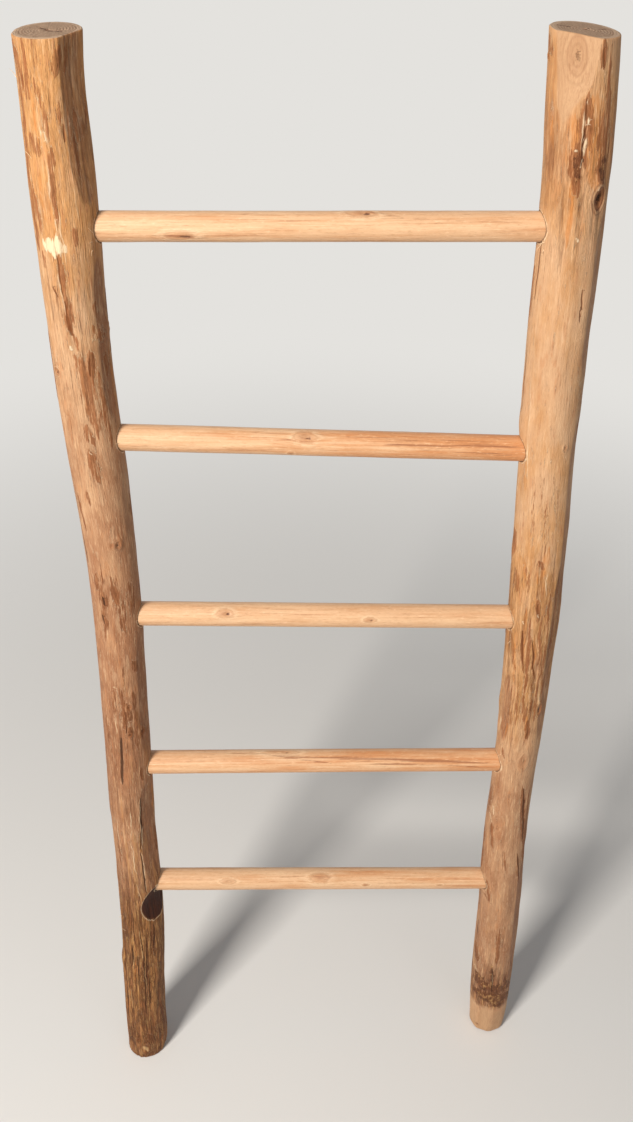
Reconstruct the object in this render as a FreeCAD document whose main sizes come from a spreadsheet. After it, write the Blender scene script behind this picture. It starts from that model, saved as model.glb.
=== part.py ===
import FreeCAD, Part
import os
import Sketcher

# Blanket ladder: two peeled, slightly crooked poles joined by five round rungs.
#
# It is drawn as it stands, leaning on a wall. Millimetres and degrees.
#   Z is up and the floor is Z = 0.
#   Y points from the person to the wall, which is the plane Y = wall_y.
#   X runs along the wall, to the right as the person sees the ladder.
# The poles are cut level at the foot, so each stands flat on the floor, and the back of each top
# touches the wall. Every rung goes into a blind bore in each pole, and a nail driven in from the
# back of the pole holds it there.

VECTOR = FreeCAD.Vector

# ---------------------------------------------------------------- driving sizes

# The rungs from the floor up. Each one is its own rod, so each has its own diameter.
RUNGS = {
    "bottom_rung": 31.5,
    "lower_rung": 31.5,
    "middle_rung": 30,
    "upper_rung": 29.5,
    "top_rung": 30,
}

# A pole is a row of round sections, from the floor up. The sections between two named heights lie
# halfway between them. For each section: its diameter, and its bow, which is how far it stands
# to the right of the straight line from the foot to the top.
LEFT_POLE = {
    "foot": (59, 0),
    "ankle": (63, 3),
    "shin": (62.5, 8),
    "bottom_rung": (61.5, 12),
    "first_bay": (59.5, 11),
    "lower_rung": (60, 12.5),
    "second_bay": (58, 14),
    "middle_rung": (57.5, 15.5),
    "third_bay": (59.5, 13),
    "upper_rung": (62, 6.5),
    "fourth_bay": (61, 1.5),
    "top_rung": (63.5, 0.5),
    "neck": (63, -0.5),
    "top": (64, 0),
}
RIGHT_POLE = {
    "foot": (58, 0),
    "ankle": (61.5, 1),
    "shin": (64, 2.5),
    "bottom_rung": (62.5, 2),
    "first_bay": (60, 1),
    "lower_rung": (58.5, 4),
    "second_bay": (60.5, 7),
    "middle_rung": (64, 8),
    "third_bay": (64, 7.5),
    "upper_rung": (63.5, 4.5),
    "fourth_bay": (64.5, 4),
    "top_rung": (65.5, 5.5),
    "neck": (66, 4),
    "top": (64, 0),
}
POLES = {"left": LEFT_POLE, "right": RIGHT_POLE}

SIZES = {
    # where the wall is, and how far in front of it the middle of each foot stands
    "wall_y": 105,
    "left_setback": 179,
    "right_setback": 157,
    # how far the middle of each pole is from the ladder's centre plane
    "left_foot_out": 279.5,
    "right_foot_out": 283,
    "left_top_out": 262.5,
    "right_top_out": 218,
    # the height of the middle of each top, and how far its saw cut is from level:
    # both cuts fall away from the other pole
    "left_top_height": 1491,
    "right_top_height": 1496,
    "left_top_slope": 2,
    "right_top_slope": 4,
    # the whittled foot ends at the ankle
    "ankle_height": 70,
    # the height of each rung's axis at the middle of each pole
    "left_bottom_rung_height": 388,
    "left_lower_rung_height": 615.5,
    "left_middle_rung_height": 858,
    "left_upper_rung_height": 1093.5,
    "left_top_rung_height": 1319,
    "right_bottom_rung_height": 351.5,
    "right_lower_rung_height": 594.5,
    "right_middle_rung_height": 837,
    "right_upper_rung_height": 1071.5,
    "right_top_rung_height": 1319.5,
    # how far a rung reaches past the middle of the pole, and the room around it in its bore
    "rung_reach": 14,
    "rung_end_chamfer": 1.5,
    "bore_clearance": 0.2,
    "bore_end_gap": 1,
    # the worn edge of each sawn end
    "rim_chamfer": 2,
    # the flat planed on the front of the right pole's top, where a branch was: how deep it is
    # at the top, how far it slopes back, and the way it faces, turned from +X towards the front
    "planed_flat_depth": 9,
    "planed_flat_slope": 12,
    "planed_flat_bearing": 116,
    # the wire nail in each end of each rung
    "nail_length": 50,
    "nail_diameter": 2.5,
    "nail_head_diameter": 5.5,
    "nail_head_thickness": 1.2,
    "nail_point_length": 4,
    "nail_head_sink": 0.6,
    "nail_clearance": 0.05,
}

# ---------------------------------------------------------------- the sheets

doc = FreeCAD.newDocument("blanket_ladder")


def new_sheet(name, cells):
    """A sheet with one row for each name: the name in column A and its value in column B."""
    sheet = doc.addObject("Spreadsheet::Sheet", name)
    for row, (alias, value) in enumerate(cells.items(), start=1):
        sheet.set(f"A{row}", alias)
        sheet.set(f"B{row}", str(value))
        sheet.setAlias(f"B{row}", alias)
    return sheet


for rung, rung_diameter in RUNGS.items():
    SIZES[f"{rung}_diameter"] = rung_diameter
for pole, sections in POLES.items():
    for section, (section_diameter, section_bow) in sections.items():
        SIZES[f"{pole}_{section}_diameter"] = section_diameter
        SIZES[f"{pole}_{section}_bow"] = section_bow
new_sheet("sizes", SIZES)


def section_heights(pole):
    """The height of every section of one pole, as formulas, in the order of its sections."""
    names = list(POLES[pole])
    known = {
        "foot": "0",
        "ankle": "sizes.ankle_height",
        "top": f"sizes.{pole}_top_height",
    }
    known.update({rung: f"sizes.{pole}_{rung}_height" for rung in RUNGS})
    heights = {}
    for below, name, above in zip([None] + names, names, names[1:] + [None]):
        heights[name] = known.get(name) or f"({known[below]} + {known[above]}) / 2"
    return heights


def section_places():
    """The middle of every section of both poles, on the line from foot to top plus the bow."""
    cells = {}
    for pole, side in (("left", "-1"), ("right", "1")):
        foot_x = f"{side} * sizes.{pole}_foot_out"
        top_x = f"{side} * sizes.{pole}_top_out"
        foot_y = f"(sizes.wall_y - sizes.{pole}_setback)"
        top_y = f"(sizes.wall_y - sizes.{pole}_top_diameter / 2)"
        for section, height in section_heights(pole).items():
            share = f"{pole}_{section}_z / sizes.{pole}_top_height"
            bow = f"sizes.{pole}_{section}_bow"
            cells[f"{pole}_{section}_z"] = f"={height}"
            cells[f"{pole}_{section}_x"] = f"={foot_x} + ({top_x} - {foot_x}) * {share} + {bow}"
            cells[f"{pole}_{section}_y"] = f"={foot_y} + ({top_y} - {foot_y}) * {share}"
    return cells


def rung_places():
    """The middle of each rung, its length between the poles' middles, its turn and its tilt."""
    cells = {}
    for rung in RUNGS:
        for axis in "xyz":
            left, right = f"left_{rung}_{axis}", f"right_{rung}_{axis}"
            cells[f"{rung}_middle_{axis}"] = f"=({left} + {right}) / 2"
            cells[f"{rung}_run_{axis}"] = f"={right} - {left}"
        run = [f"{rung}_run_{axis}" for axis in "xyz"]
        level_run = f"sqrt({run[0]}^2 + {run[1]}^2)"
        cells[f"{rung}_half_span"] = f"=sqrt({run[0]}^2 + {run[1]}^2 + {run[2]}^2) / 2"
        cells[f"{rung}_turn"] = f"=atan2({run[1]}; {run[0]})"
        cells[f"{rung}_tilt"] = f"=-atan2({run[2]}; {level_run})"
    return cells


new_sheet("layout", {**section_places(), **rung_places()})
doc.recompute()

# ---------------------------------------------------------------- helpers


def placement(x, y, z, turn="rotation(vector(0; 0; 1); 0)"):
    """The formula of a placement at x, y, z with a turn."""
    return f"placement(vector({x}; {y}; {z}); {turn})"


def turned(axis, angle):
    """The formula of a turn by an angle about the x, y or z axis."""
    vector = {"x": "1; 0; 0", "y": "0; 1; 0", "z": "0; 0; 1"}[axis]
    return f"rotation(vector({vector}); {angle})"


def new_body(label):
    body = doc.addObject("PartDesign::Body", label)
    body.Label = label
    return body


def circle_sketch(body, name, plane, diameter):
    """A circle about the origin of one of the body's own planes."""
    sketch = body.newObject("Sketcher::SketchObject", name)
    support = [item for item in body.Origin.OriginFeatures if item.Role == plane]
    sketch.AttachmentSupport = (support[0], [""])
    sketch.MapMode = "FlatFace"
    circle = sketch.addGeometry(Part.Circle(VECTOR(0, 0, 0), VECTOR(0, 0, 1), 1))
    sketch.addConstraint(Sketcher.Constraint("Coincident", circle, 3, -1, 1))
    across = sketch.addConstraint(Sketcher.Constraint("Diameter", circle, 2))
    sketch.renameConstraint(across, "across")
    sketch.setExpression("Constraints.across", diameter)
    return sketch


def cut(body, kind, name, place, **lengths):
    """Cut a cylinder or a box out of a body, and make sure that it took some wood away."""
    before = body.Shape.Volume
    tool = body.newObject(f"PartDesign::Subtractive{kind}", name)
    tool.Refine = False
    for length, formula in lengths.items():
        tool.setExpression(length, formula)
    tool.setExpression("Placement", place)
    doc.recompute()
    if not 0 < body.Shape.Volume < before:
        raise RuntimeError(f"{name} doesn't cut {body.Label} as it should")


def end_rims(shape):
    """The names of the edges round the lowest and the highest flat face of a pole, its ends."""
    flats = [face for face in shape.Faces if isinstance(face.Surface, Part.Plane)]
    flats.sort(key=lambda face: face.CenterOfMass.z)
    rims = []
    for number, edge in enumerate(shape.Edges, start=1):
        if any(edge.isSame(rim) for flat in (flats[0], flats[-1]) for rim in flat.Edges):
            rims.append(f"Edge{number}")
    return rims


# ---------------------------------------------------------------- rungs


def make_rung(rung):
    """A round rod along its own X axis, with eased ends and a nail hole through each end."""
    body = new_body(rung)
    diameter = f"sizes.{rung}_diameter"
    rod = body.newObject("PartDesign::Pad", f"{rung}_rod")
    rod.Profile = circle_sketch(body, f"{rung}_round", "YZ_Plane", diameter)
    rod.Midplane = True
    rod.setExpression("Length", f"2 * (layout.{rung}_half_span + sizes.rung_reach)")
    doc.recompute()
    ends = [f"Edge{n}" for n, edge in enumerate(rod.Shape.Edges, start=1) if edge.isClosed()]
    eased = body.newObject("PartDesign::Chamfer", f"{rung}_eased_ends")
    eased.Base = (rod, ends)
    eased.setExpression("Size", "sizes.rung_end_chamfer")
    doc.recompute()
    for end, sign in (("left", "-1"), ("right", "1")):
        cut(
            body,
            "Cylinder",
            f"{rung}_{end}_nail_hole",
            placement(f"{sign} * layout.{rung}_half_span", diameter, "0", turned("x", "90")),
            Radius="sizes.nail_diameter / 2 + sizes.nail_clearance",
            Height=f"2 * {diameter}",
        )
    middle = [f"layout.{rung}_middle_{axis}" for axis in "xyz"]
    turn, tilt = turned("z", f"layout.{rung}_turn"), turned("y", f"layout.{rung}_tilt")
    body.setExpression("Placement", placement(*middle, f"{turn} * {tilt}"))
    doc.recompute()
    return body


# ---------------------------------------------------------------- nails


def nail_place(pole, rung):
    """Where a nail goes: its head is just under the back of the pole and it points to the front,
    square to the rung. Its own Z axis runs from the head to the point."""
    sign = {"left": "-1", "right": "1"}[pole]
    back = f"sizes.{pole}_{rung}_diameter / 2 - sizes.nail_head_sink"
    seat = placement(f"{sign} * layout.{rung}_half_span", back, "0", turned("x", "90"))
    return f"{rung}.Placement * {seat}"


def make_nail(pole, rung):
    """A round wire nail with a flat head, turned about its own Z axis."""
    shank, head = "sizes.nail_diameter / 2", "sizes.nail_head_diameter / 2"
    point = "sizes.nail_length - sizes.nail_point_length"
    # each corner of half the nail: its distance from the axis, and its distance from the head
    corners = {
        "head_middle": (0, "0"),
        "head_rim": (head, "0"),
        "under_head_rim": (head, "sizes.nail_head_thickness"),
        "shank_start": (shank, "sizes.nail_head_thickness"),
        "shank_end": (shank, point),
        "tip": (0, "sizes.nail_length"),
    }
    body = new_body(f"{pole}_{rung}_nail")
    sketch = body.newObject("Sketcher::SketchObject", f"{body.Name}_half")
    support = [item for item in body.Origin.OriginFeatures if item.Role == "XZ_Plane"]
    sketch.AttachmentSupport = (support[0], [""])
    sketch.MapMode = "FlatFace"
    rough = [(0, 0), (4, 0), (4, 2), (2, 2), (2, 40), (0, 44)]
    ends = zip(rough, rough[1:] + rough[:1])
    for (x1, z1), (x2, z2) in ends:
        sketch.addGeometry(Part.LineSegment(VECTOR(x1, z1, 0), VECTOR(x2, z2, 0)))
    for line in range(len(rough)):
        following = (line + 1) % len(rough)
        sketch.addConstraint(Sketcher.Constraint("Coincident", line, 2, following, 1))
    sketch.addConstraint(Sketcher.Constraint("Coincident", 0, 1, -1, 1))
    for line, (corner, (across, along)) in enumerate(corners.items()):
        if corner == "head_middle":
            continue
        if across == 0:
            sketch.addConstraint(Sketcher.Constraint("PointOnObject", line, 1, -2))
        else:
            number = sketch.addConstraint(
                Sketcher.Constraint("DistanceX", -1, 1, line, 1, rough[line][0])
            )
            sketch.renameConstraint(number, f"{corner}_across")
            sketch.setExpression(f"Constraints.{corner}_across", across)
        if along == "0":
            sketch.addConstraint(Sketcher.Constraint("PointOnObject", line, 1, -1))
        else:
            number = sketch.addConstraint(
                Sketcher.Constraint("DistanceY", -1, 1, line, 1, rough[line][1])
            )
            sketch.renameConstraint(number, f"{corner}_along")
            sketch.setExpression(f"Constraints.{corner}_along", along)
    turning = body.newObject("PartDesign::Revolution", f"{body.Name}_turned")
    turning.Profile = sketch
    turning.ReferenceAxis = (sketch, ["V_Axis"])
    turning.Angle = 360
    body.setExpression("Placement", nail_place(pole, rung))
    doc.recompute()
    return body


# ---------------------------------------------------------------- poles


def pole_sections(body, pole):
    """The pole's sections: circles on level planes, and the top one on its sloping saw cut."""
    sketches = []
    slope = {"left": "-1 * sizes.left_top_slope", "right": "sizes.right_top_slope"}[pole]
    for section in POLES[pole]:
        here = [f"layout.{pole}_{section}_{axis}" for axis in "xyz"]
        diameter = f"sizes.{pole}_{section}_diameter"
        sketch = circle_sketch(body, f"{pole}_{section}", "XY_Plane", diameter)
        turn = turned("y", slope if section == "top" else "0")
        sketch.setExpression("AttachmentOffset", placement(*here, turn))
        sketches.append(sketch)
    return sketches


def cut_bore(body, pole, rung):
    """The blind bore that holds one end of a rung, on the rung's own axis."""
    past_middle = "(sizes.rung_reach + sizes.bore_end_gap)"
    sign, turn = {"left": ("-1", "90"), "right": ("1", "-90")}[pole]
    floor_of_bore = f"{sign} * (layout.{rung}_half_span + {past_middle})"
    cut(
        body,
        "Cylinder",
        f"{pole}_{rung}_bore",
        f"{rung}.Placement * {placement(floor_of_bore, '0', '0', turned('y', turn))}",
        Radius=f"sizes.{rung}_diameter / 2 + sizes.bore_clearance",
        Height=f"{past_middle} + sizes.{pole}_{rung}_diameter",
    )


def cut_nail_seat(body, pole, rung):
    """The hole for a nail's shank, and the sunk seat of its head at the back of the pole."""
    nail = f"{pole}_{rung}_nail"
    cut(
        body,
        "Cylinder",
        f"{nail}_hole",
        f"{nail}.Placement",
        Radius="sizes.nail_diameter / 2 + sizes.nail_clearance",
        Height="sizes.nail_length + sizes.nail_clearance",
    )
    outwards = "sizes.nail_head_thickness + sizes.nail_clearance"
    cut(
        body,
        "Cylinder",
        f"{nail}_seat",
        f"{nail}.Placement * {placement('0', '0', outwards, turned('x', '180'))}",
        Radius="sizes.nail_head_diameter / 2 + sizes.nail_clearance",
        Height=f"{outwards} + sizes.nail_head_diameter",
    )


def cut_planed_flat(body, pole):
    """The flat planed on the front of a pole's top: a box whose inner face is the flat."""
    radius = f"sizes.{pole}_top_diameter / 2"
    above = f"sizes.{pole}_top_diameter"
    below = "3 * sizes.planed_flat_depth / tan(sizes.planed_flat_slope)"
    top = [f"layout.{pole}_top_{axis}" for axis in "xyz"]
    facing = placement(*top, turned("z", "-1 * sizes.planed_flat_bearing"))
    start = f"{radius} - sizes.planed_flat_depth"
    leaning = placement(start, "0", "0", turned("y", "-1 * sizes.planed_flat_slope"))
    corner = placement("0", f"-1 * {above}", f"-1 * {below}")
    cut(
        body,
        "Box",
        f"{pole}_planed_flat",
        f"{facing} * {leaning} * {corner}",
        Length=f"2 * {radius}",
        Width=f"2 * {above}",
        Height=f"{below} + {above}",
    )


def make_pole(pole):
    """One pole: a loft through its sections, with bores, nail holes and worn rims."""
    body = new_body(f"{pole}_stile")
    sketches = pole_sections(body, pole)
    trunk = body.newObject("PartDesign::AdditiveLoft", f"{pole}_trunk")
    trunk.Profile = sketches[0]
    trunk.Sections = sketches[1:]
    doc.recompute()
    for rung in RUNGS:
        cut_bore(body, pole, rung)
        cut_nail_seat(body, pole, rung)
    drilled = body.Tip
    rims = body.newObject("PartDesign::Chamfer", f"{pole}_worn_rims")
    rims.Base = (drilled, end_rims(drilled.Shape))
    rims.setExpression("Size", "sizes.rim_chamfer")
    doc.recompute()
    if pole == "right":
        cut_planed_flat(body, pole)
    return body


# ---------------------------------------------------------------- the ladder

nodes = [make_rung(rung) for rung in RUNGS]
for pole in POLES:
    nails = [make_nail(pole, rung) for rung in RUNGS]
    group = doc.addObject("Part::Compound", f"{pole}_rung_nails")
    group.Label = f"{pole}_rung_nails"
    group.Links = nails
    nodes.append(group)
    nodes.append(make_pole(pole))
doc.recompute()

# ---------------------------------------------------------------- checks and files

for item in doc.Objects:
    if "Invalid" in item.State or "Error" in item.State:
        raise RuntimeError(f"{item.Label} could not be made: {item.State}")
for node in nodes:
    solids = len(RUNGS) if node.Label.endswith("_nails") else 1
    if node.Shape.isNull() or not node.Shape.isValid() or len(node.Shape.Solids) != solids:
        raise RuntimeError(f"{node.Label} is not {solids} sound solid(s)")

os.makedirs("parts", exist_ok=True)
for node in nodes:
    node.Shape.exportStep(f"parts/{node.Label}.step")
    box = node.Shape.BoundBox
    print(
        f"{node.Label:18s} volume {node.Shape.Volume / 1000:8.1f} cm3"
        f"  x {box.XMin:7.1f} {box.XMax:7.1f}  y {box.YMin:7.1f} {box.YMax:7.1f}"
        f"  z {box.ZMin:7.1f} {box.ZMax:7.1f}"
    )
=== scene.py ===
# %% [markdown]
# # A blanket ladder of peeled poles
#
# This lesson dresses a plain CAD ladder so that it looks like the real one: two crooked poles that
# were peeled with a knife, and five smooth round rungs. The CAD part gives every size and place,
# and nothing here moves it. First we load it.

import math

import bmesh
import bpy
import numpy as np
from mathutils import Matrix, Vector


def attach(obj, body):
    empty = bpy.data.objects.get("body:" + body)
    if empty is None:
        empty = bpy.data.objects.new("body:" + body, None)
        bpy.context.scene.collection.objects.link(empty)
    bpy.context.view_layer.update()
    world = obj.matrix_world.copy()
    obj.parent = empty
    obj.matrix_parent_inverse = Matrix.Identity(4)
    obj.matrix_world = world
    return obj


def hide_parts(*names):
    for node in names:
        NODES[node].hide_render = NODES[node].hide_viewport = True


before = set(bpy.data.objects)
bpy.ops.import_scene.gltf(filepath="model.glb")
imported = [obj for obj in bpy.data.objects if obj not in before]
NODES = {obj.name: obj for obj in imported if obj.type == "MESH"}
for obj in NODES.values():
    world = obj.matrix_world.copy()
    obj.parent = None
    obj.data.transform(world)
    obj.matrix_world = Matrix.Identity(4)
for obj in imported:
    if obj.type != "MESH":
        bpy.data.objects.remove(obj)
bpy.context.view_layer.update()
MM = 0.001
TURN = 2 * math.pi

# %% [markdown]
# ## Measuring the CAD poles
#
# A pole is a crooked trunk, so its middle wanders as it goes up. We could type that line in again,
# but then it might stop matching the CAD part. So we slice the CAD pole at many heights and fit a
# circle to each slice. Where a bore or a flat bites into the slice, those points lie off the
# circle, and the fit throws them out.


# %% Slice a pole into circles
SLICES, LOWEST_SLICE, BELOW_TOP = 150, 3 * MM, 12 * MM
FIT_ROUNDS, GOOD_FIT, TOO_FAR = 6, 0.4 * MM, 2.5  # the last one in median errors


def read(items, key, width=3, kind=float):
    """One property of all corners, edges or faces, as an array with so many columns."""
    values = np.empty(len(items) * width, kind)
    items.foreach_get(key, values)
    return values.reshape(-1, width)


def slice_at(points, edges, height):
    """Where the edges cross a level plane: a crossing is the weighted mean of its edge's ends."""
    low, high = points[edges[:, 0]], points[edges[:, 1]]
    crossing = (low[:, 2] - height) * (high[:, 2] - height) < 0
    low, high = low[crossing], high[crossing]
    share = (height - low[:, 2]) / (high[:, 2] - low[:, 2])
    return (low + (high - low) * share[:, None])[:, :2]


def fit_circle(points):
    """The circle x, y, r for which x^2 + y^2 = 2 x a + 2 y b + k holds best, fitted again and
    again without the points that lie off it, such as those on the wall of a bore."""
    middle = (points.min(0) + points.max(0)) / 2
    reach = np.hypot(*(points - middle).T)
    points = points[reach > 0.8 * reach.max()]
    for _ in range(FIT_ROUNDS):
        columns = np.column_stack([2 * points, np.ones(len(points))])
        (a, b, k), *_ = np.linalg.lstsq(columns, (points**2).sum(1), rcond=None)
        radius = math.sqrt(k + a * a + b * b)
        error = np.abs(np.hypot(*(points - (a, b)).T) - radius)
        keep = error < max(GOOD_FIT, TOO_FAR * np.median(error))
        if keep.all():
            break
        points = points[keep]
    return a, b, radius


def sawn_top(mesh):
    """The mean middle and normal of the triangles that face up at the very top of a pole."""
    normals, centres = read(mesh.polygons, "normal"), read(mesh.polygons, "center")
    areas = read(mesh.polygons, "area", 1)[:, 0]
    top = (normals[:, 2] > 0.98) & (centres[:, 2] > centres[:, 2].max() - BELOW_TOP)
    weight = areas[top] / areas[top].sum()
    return weight @ centres[top], weight @ normals[top]


class Trunk:
    """The measured middle line, radius and sawn top of one CAD pole."""

    def __init__(self, node):
        mesh = NODES[node].data
        points, edges = read(mesh.vertices, "co"), read(mesh.edges, "vertices", 2, np.int64)
        self.top, self.top_normal = sawn_top(mesh)
        self.levels = np.linspace(LOWEST_SLICE, self.top[2] - BELOW_TOP, SLICES)
        circles = np.array([fit_circle(slice_at(points, edges, z)) for z in self.levels])
        self.x, self.y, self.radius = circles.T

    def _read(self, values, height):
        """Straight lines between the slices, carried on past the first and the last slice."""
        first, last = self.levels[0], self.levels[-1]
        step = self.levels[1] - first
        below = np.minimum(height - first, 0) * (values[1] - values[0]) / step
        above = np.maximum(height - last, 0) * (values[-1] - values[-2]) / step
        return np.interp(height, self.levels, values) + below + above

    def middle(self, height):
        """The x and the y of the pole's middle at a height."""
        return self._read(self.x, height), self._read(self.y, height)

    def round(self, height):
        """The pole's radius at a height."""
        return self._read(self.radius, height)

    def top_above(self, x, y):
        """The height of the sawn top over a place: the plane through its middle."""
        nx, ny, nz = self.top_normal
        return self.top[2] - (nx * (x - self.top[0]) + ny * (y - self.top[1])) / nz


TRUNKS = {side: Trunk(f"{side}_stile") for side in ("left", "right")}
for side, trunk in TRUNKS.items():
    print(side, "pole is", round(2 * trunk.radius.min() / MM, 1), "to",
          round(2 * trunk.radius.max() / MM, 1), "mm thick; top at", round(trunk.top[2] / MM))

# %% [markdown]
# ## Noise that closes round a pole
#
# Wood is never even. We need smooth random numbers that vary slowly up the pole and faster round
# it, and that meet themselves again after one turn. A table of random numbers on a grid does it:
# the columns go round the pole and wrap, the rows go up, and we blend between neighbours.


# %% Smooth random values round a pole
def soft(share):
    """3 t^2 - 2 t^3: goes from 0 to 1 and starts and ends level."""
    share = np.clip(share, 0, 1)
    return share * share * (3 - 2 * share)


def noise(turn, height, around, length, seed):
    """Smooth random values from -1 to 1: around cells in one turn, each of them length high."""
    table = np.random.default_rng(seed).uniform(-1, 1, (int(2 / length) + 8, around))
    column, row = (turn / TURN) % 1 * around, height / length + 3
    i, j = np.floor(column).astype(int), np.floor(row).astype(int)
    j = np.clip(j, 0, len(table) - 2)
    across, up = soft(column - i), soft(row - j)
    left, right = i % around, (i + 1) % around
    low = table[j, left] * (1 - across) + table[j, right] * across
    high = table[j + 1, left] * (1 - across) + table[j + 1, right] * across
    return low * (1 - up) + high * up


# %% [markdown]
# ## Marks on the poles
#
# Peeling leaves red inner bark, splits, scrapes, torn fibres, streaks of orange resin, some scaly
# bark and knots. A mark is written down as a row: the height in mm and the azimuth in degrees of
# its two ends, its width in mm and its strength from 0 to 1. A knot's row has its height and
# azimuth, half its width and half its height in mm, and its depth from 0 to 1. Azimuth 0 is the
# front and it grows to the right. The front has the marks that show on the real ladder. The back
# gets some of the same kind from a seeded random generator, because every side can be seen here.

# %% The marks of the left pole
LEFT, RIGHT = {"seed": 11}, {"seed": 29}
POLES = {"left": LEFT, "right": RIGHT}
LEFT["bark"] = [
    (1490, -66, 1380, -52, 9, 0.7), (1490, -36, 1440, -32, 6.5, 0.6),
    (1400, -62, 1300, -56, 8, 0.7), (1200, 8, 1110, 20, 14, 0.7), (1180, 40, 1090, 46, 11, 0.6),
    (930, 14, 850, 22, 10, 0.6), (940, -20, 840, -26, 8, 0.6), (770, -2, 700, 6, 10, 0.6),
    (760, 30, 660, 36, 9, 0.6), (1480, -58, 1460, -48, 11.5, 0.6),
    (1465, -48, 1440, -38, 6.5, 0.6), (1480, -12, 1468, -14, 5.5, 0.4),
    (1460, -18, 1430, -8, 6, 0.5), (1485, 28, 1460, 16, 8, 0.9), (1485, 46, 1460, 36, 7.5, 0.6),
    (1412, -40, 1392, -24, 11, 0.6), (1440, -8, 1405, -6, 4.5, 0.6), (1400, -4, 1350, -8, 7, 0.8),
    (1440, 20, 1420, 16, 5, 0.4), (1430, 50, 1400, 54, 10, 0.6), (1410, 42, 1375, 42, 9, 0.6),
    (1430, 100, 1405, 64, 11.5, 0.5), (1360, -50, 1320, -40, 7, 0.6), (1330, 20, 1310, 20, 5, 0.8),
    (1304, -46, 1286, -42, 6, 0.6), (1305, -12, 1265, -6, 6, 0.7), (1350, -8, 1330, -6, 4, 0.5),
    (1255, 50, 1235, 48, 6.5, 0.7), (1230, 38, 1210, 60, 12.5, 0.6), (1204, -4, 1188, 0, 7, 0.7),
    (1205, 26, 1175, 24, 9, 0.9), (1190, 12, 1165, 8, 5, 0.8), (1165, 8, 1135, 8, 6, 0.7),
    (1200, -44, 1175, -48, 5.5, 0.5), (1125, 0, 1100, 10, 9.5, 0.7),
    (1095, -2, 1055, 8, 10.5, 0.7), (1195, 68, 1170, 64, 10, 0.7), (1040, -52, 990, -42, 4.5, 0.7),
    (1045, -22, 1025, -16, 5, 0.5), (1224, -2, 1204, 4, 5.5, 0.7), (1265, -6, 1225, -2, 8.5, 0.8),
    (935, -34, 910, -36, 5.5, 0.8), (910, -28, 890, -16, 9.5, 0.8), (880, -30, 860, -20, 7, 0.8),
    (934, 0, 916, 4, 6.5, 0.7), (920, 4, 890, 12, 7, 0.8), (920, 42, 870, 44, 11.5, 0.5),
    (800, 8, 755, 12, 5, 0.6), (765, -16, 720, -16, 6, 0.6), (745, 6, 715, 18, 10.5, 0.9),
    (704, 16, 688, 16, 7, 0.8), (695, 48, 675, 48, 9.5, 0.8), (805, 38, 785, 48, 9, 0.7),
    (720, -48, 660, -44, 6.5, 0.5), (630, 36, 605, 44, 9, 0.7), (570, 28, 505, 30, 7, 0.7),
    (525, 36, 475, 20, 7, 0.6), (490, -40, 450, -40, 6, 0.6), (450, -4, 380, -4, 5.5, 0.5),
    (355, -16, 270, -12, 7, 0.7), (335, -4, 225, 4, 8, 0.8), (300, 12, 170, 14, 8, 0.8),
    (310, 28, 225, 32, 6.5, 0.6), (345, -46, 285, -48, 6.5, 0.6), (200, 20, 140, 20, 5, 0.9),
    (85, -40, 45, -40, 14, 0.8), (65, 10, 35, 20, 13, 0.7), (130, 56, 30, 56, 13.5, 0.7),
    (135, -10, 85, -12, 7, 0.5),
]
LEFT["splits"] = [
    (1422, 23, 1404, 20, 2.5, 0.9), (1305, -15, 1265, -10, 2, 0.8), (1272, -31, 1260, -20, 2, 0.7),
    (1274, -12, 1260, -8, 1.5, 0.7), (1260, -8, 1240, -6, 2, 0.9), (1245, -6, 1220, -2, 5, 1),
    (1040, -70, 940, -57, 3.5, 0.7), (1200, 25, 1175, 22, 2.5, 0.7), (690, -7, 605, -12, 4.5, 1),
    (904, -23, 890, -20, 4, 0.8), (580, 30, 505, 30, 3, 0.8), (878, -30, 862, -28, 2.5, 0.9),
    (525, 31, 480, 19, 2.5, 0.8), (480, 19, 390, 24, 2.5, 0.8), (335, -4, 235, 8, 2, 0.8),
    (300, 15, 185, 13, 2.5, 0.8), (205, 20, 140, 21, 3, 1), (355, -18, 280, -17, 2, 0.7),
    (190, -47, 90, -53, 3, 0.7), (325, 37, 245, 38, 2.5, 0.6), (260, -11, 185, -9, 2, 0.7),
    (255, 4, 115, 10, 2.5, 0.8), (285, -23, 230, -26, 2.5, 0.8),
]
LEFT["scrapes"] = [
    (1316, -38, 1304, -34, 5.5, 1), (1320, -29, 1304, -26, 6, 1), (1318, -20, 1300, -19, 6.5, 1),
    (1324, -11, 1304, -10, 6, 1), (1314, -3, 1304, 0, 5, 0.9), (1312, -34, 1312, 0, 6, 0.8),
    (1210, -12, 1206, -6, 4, 0.8), (38, -6, 20, 8, 9, 0.8),
]
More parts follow.
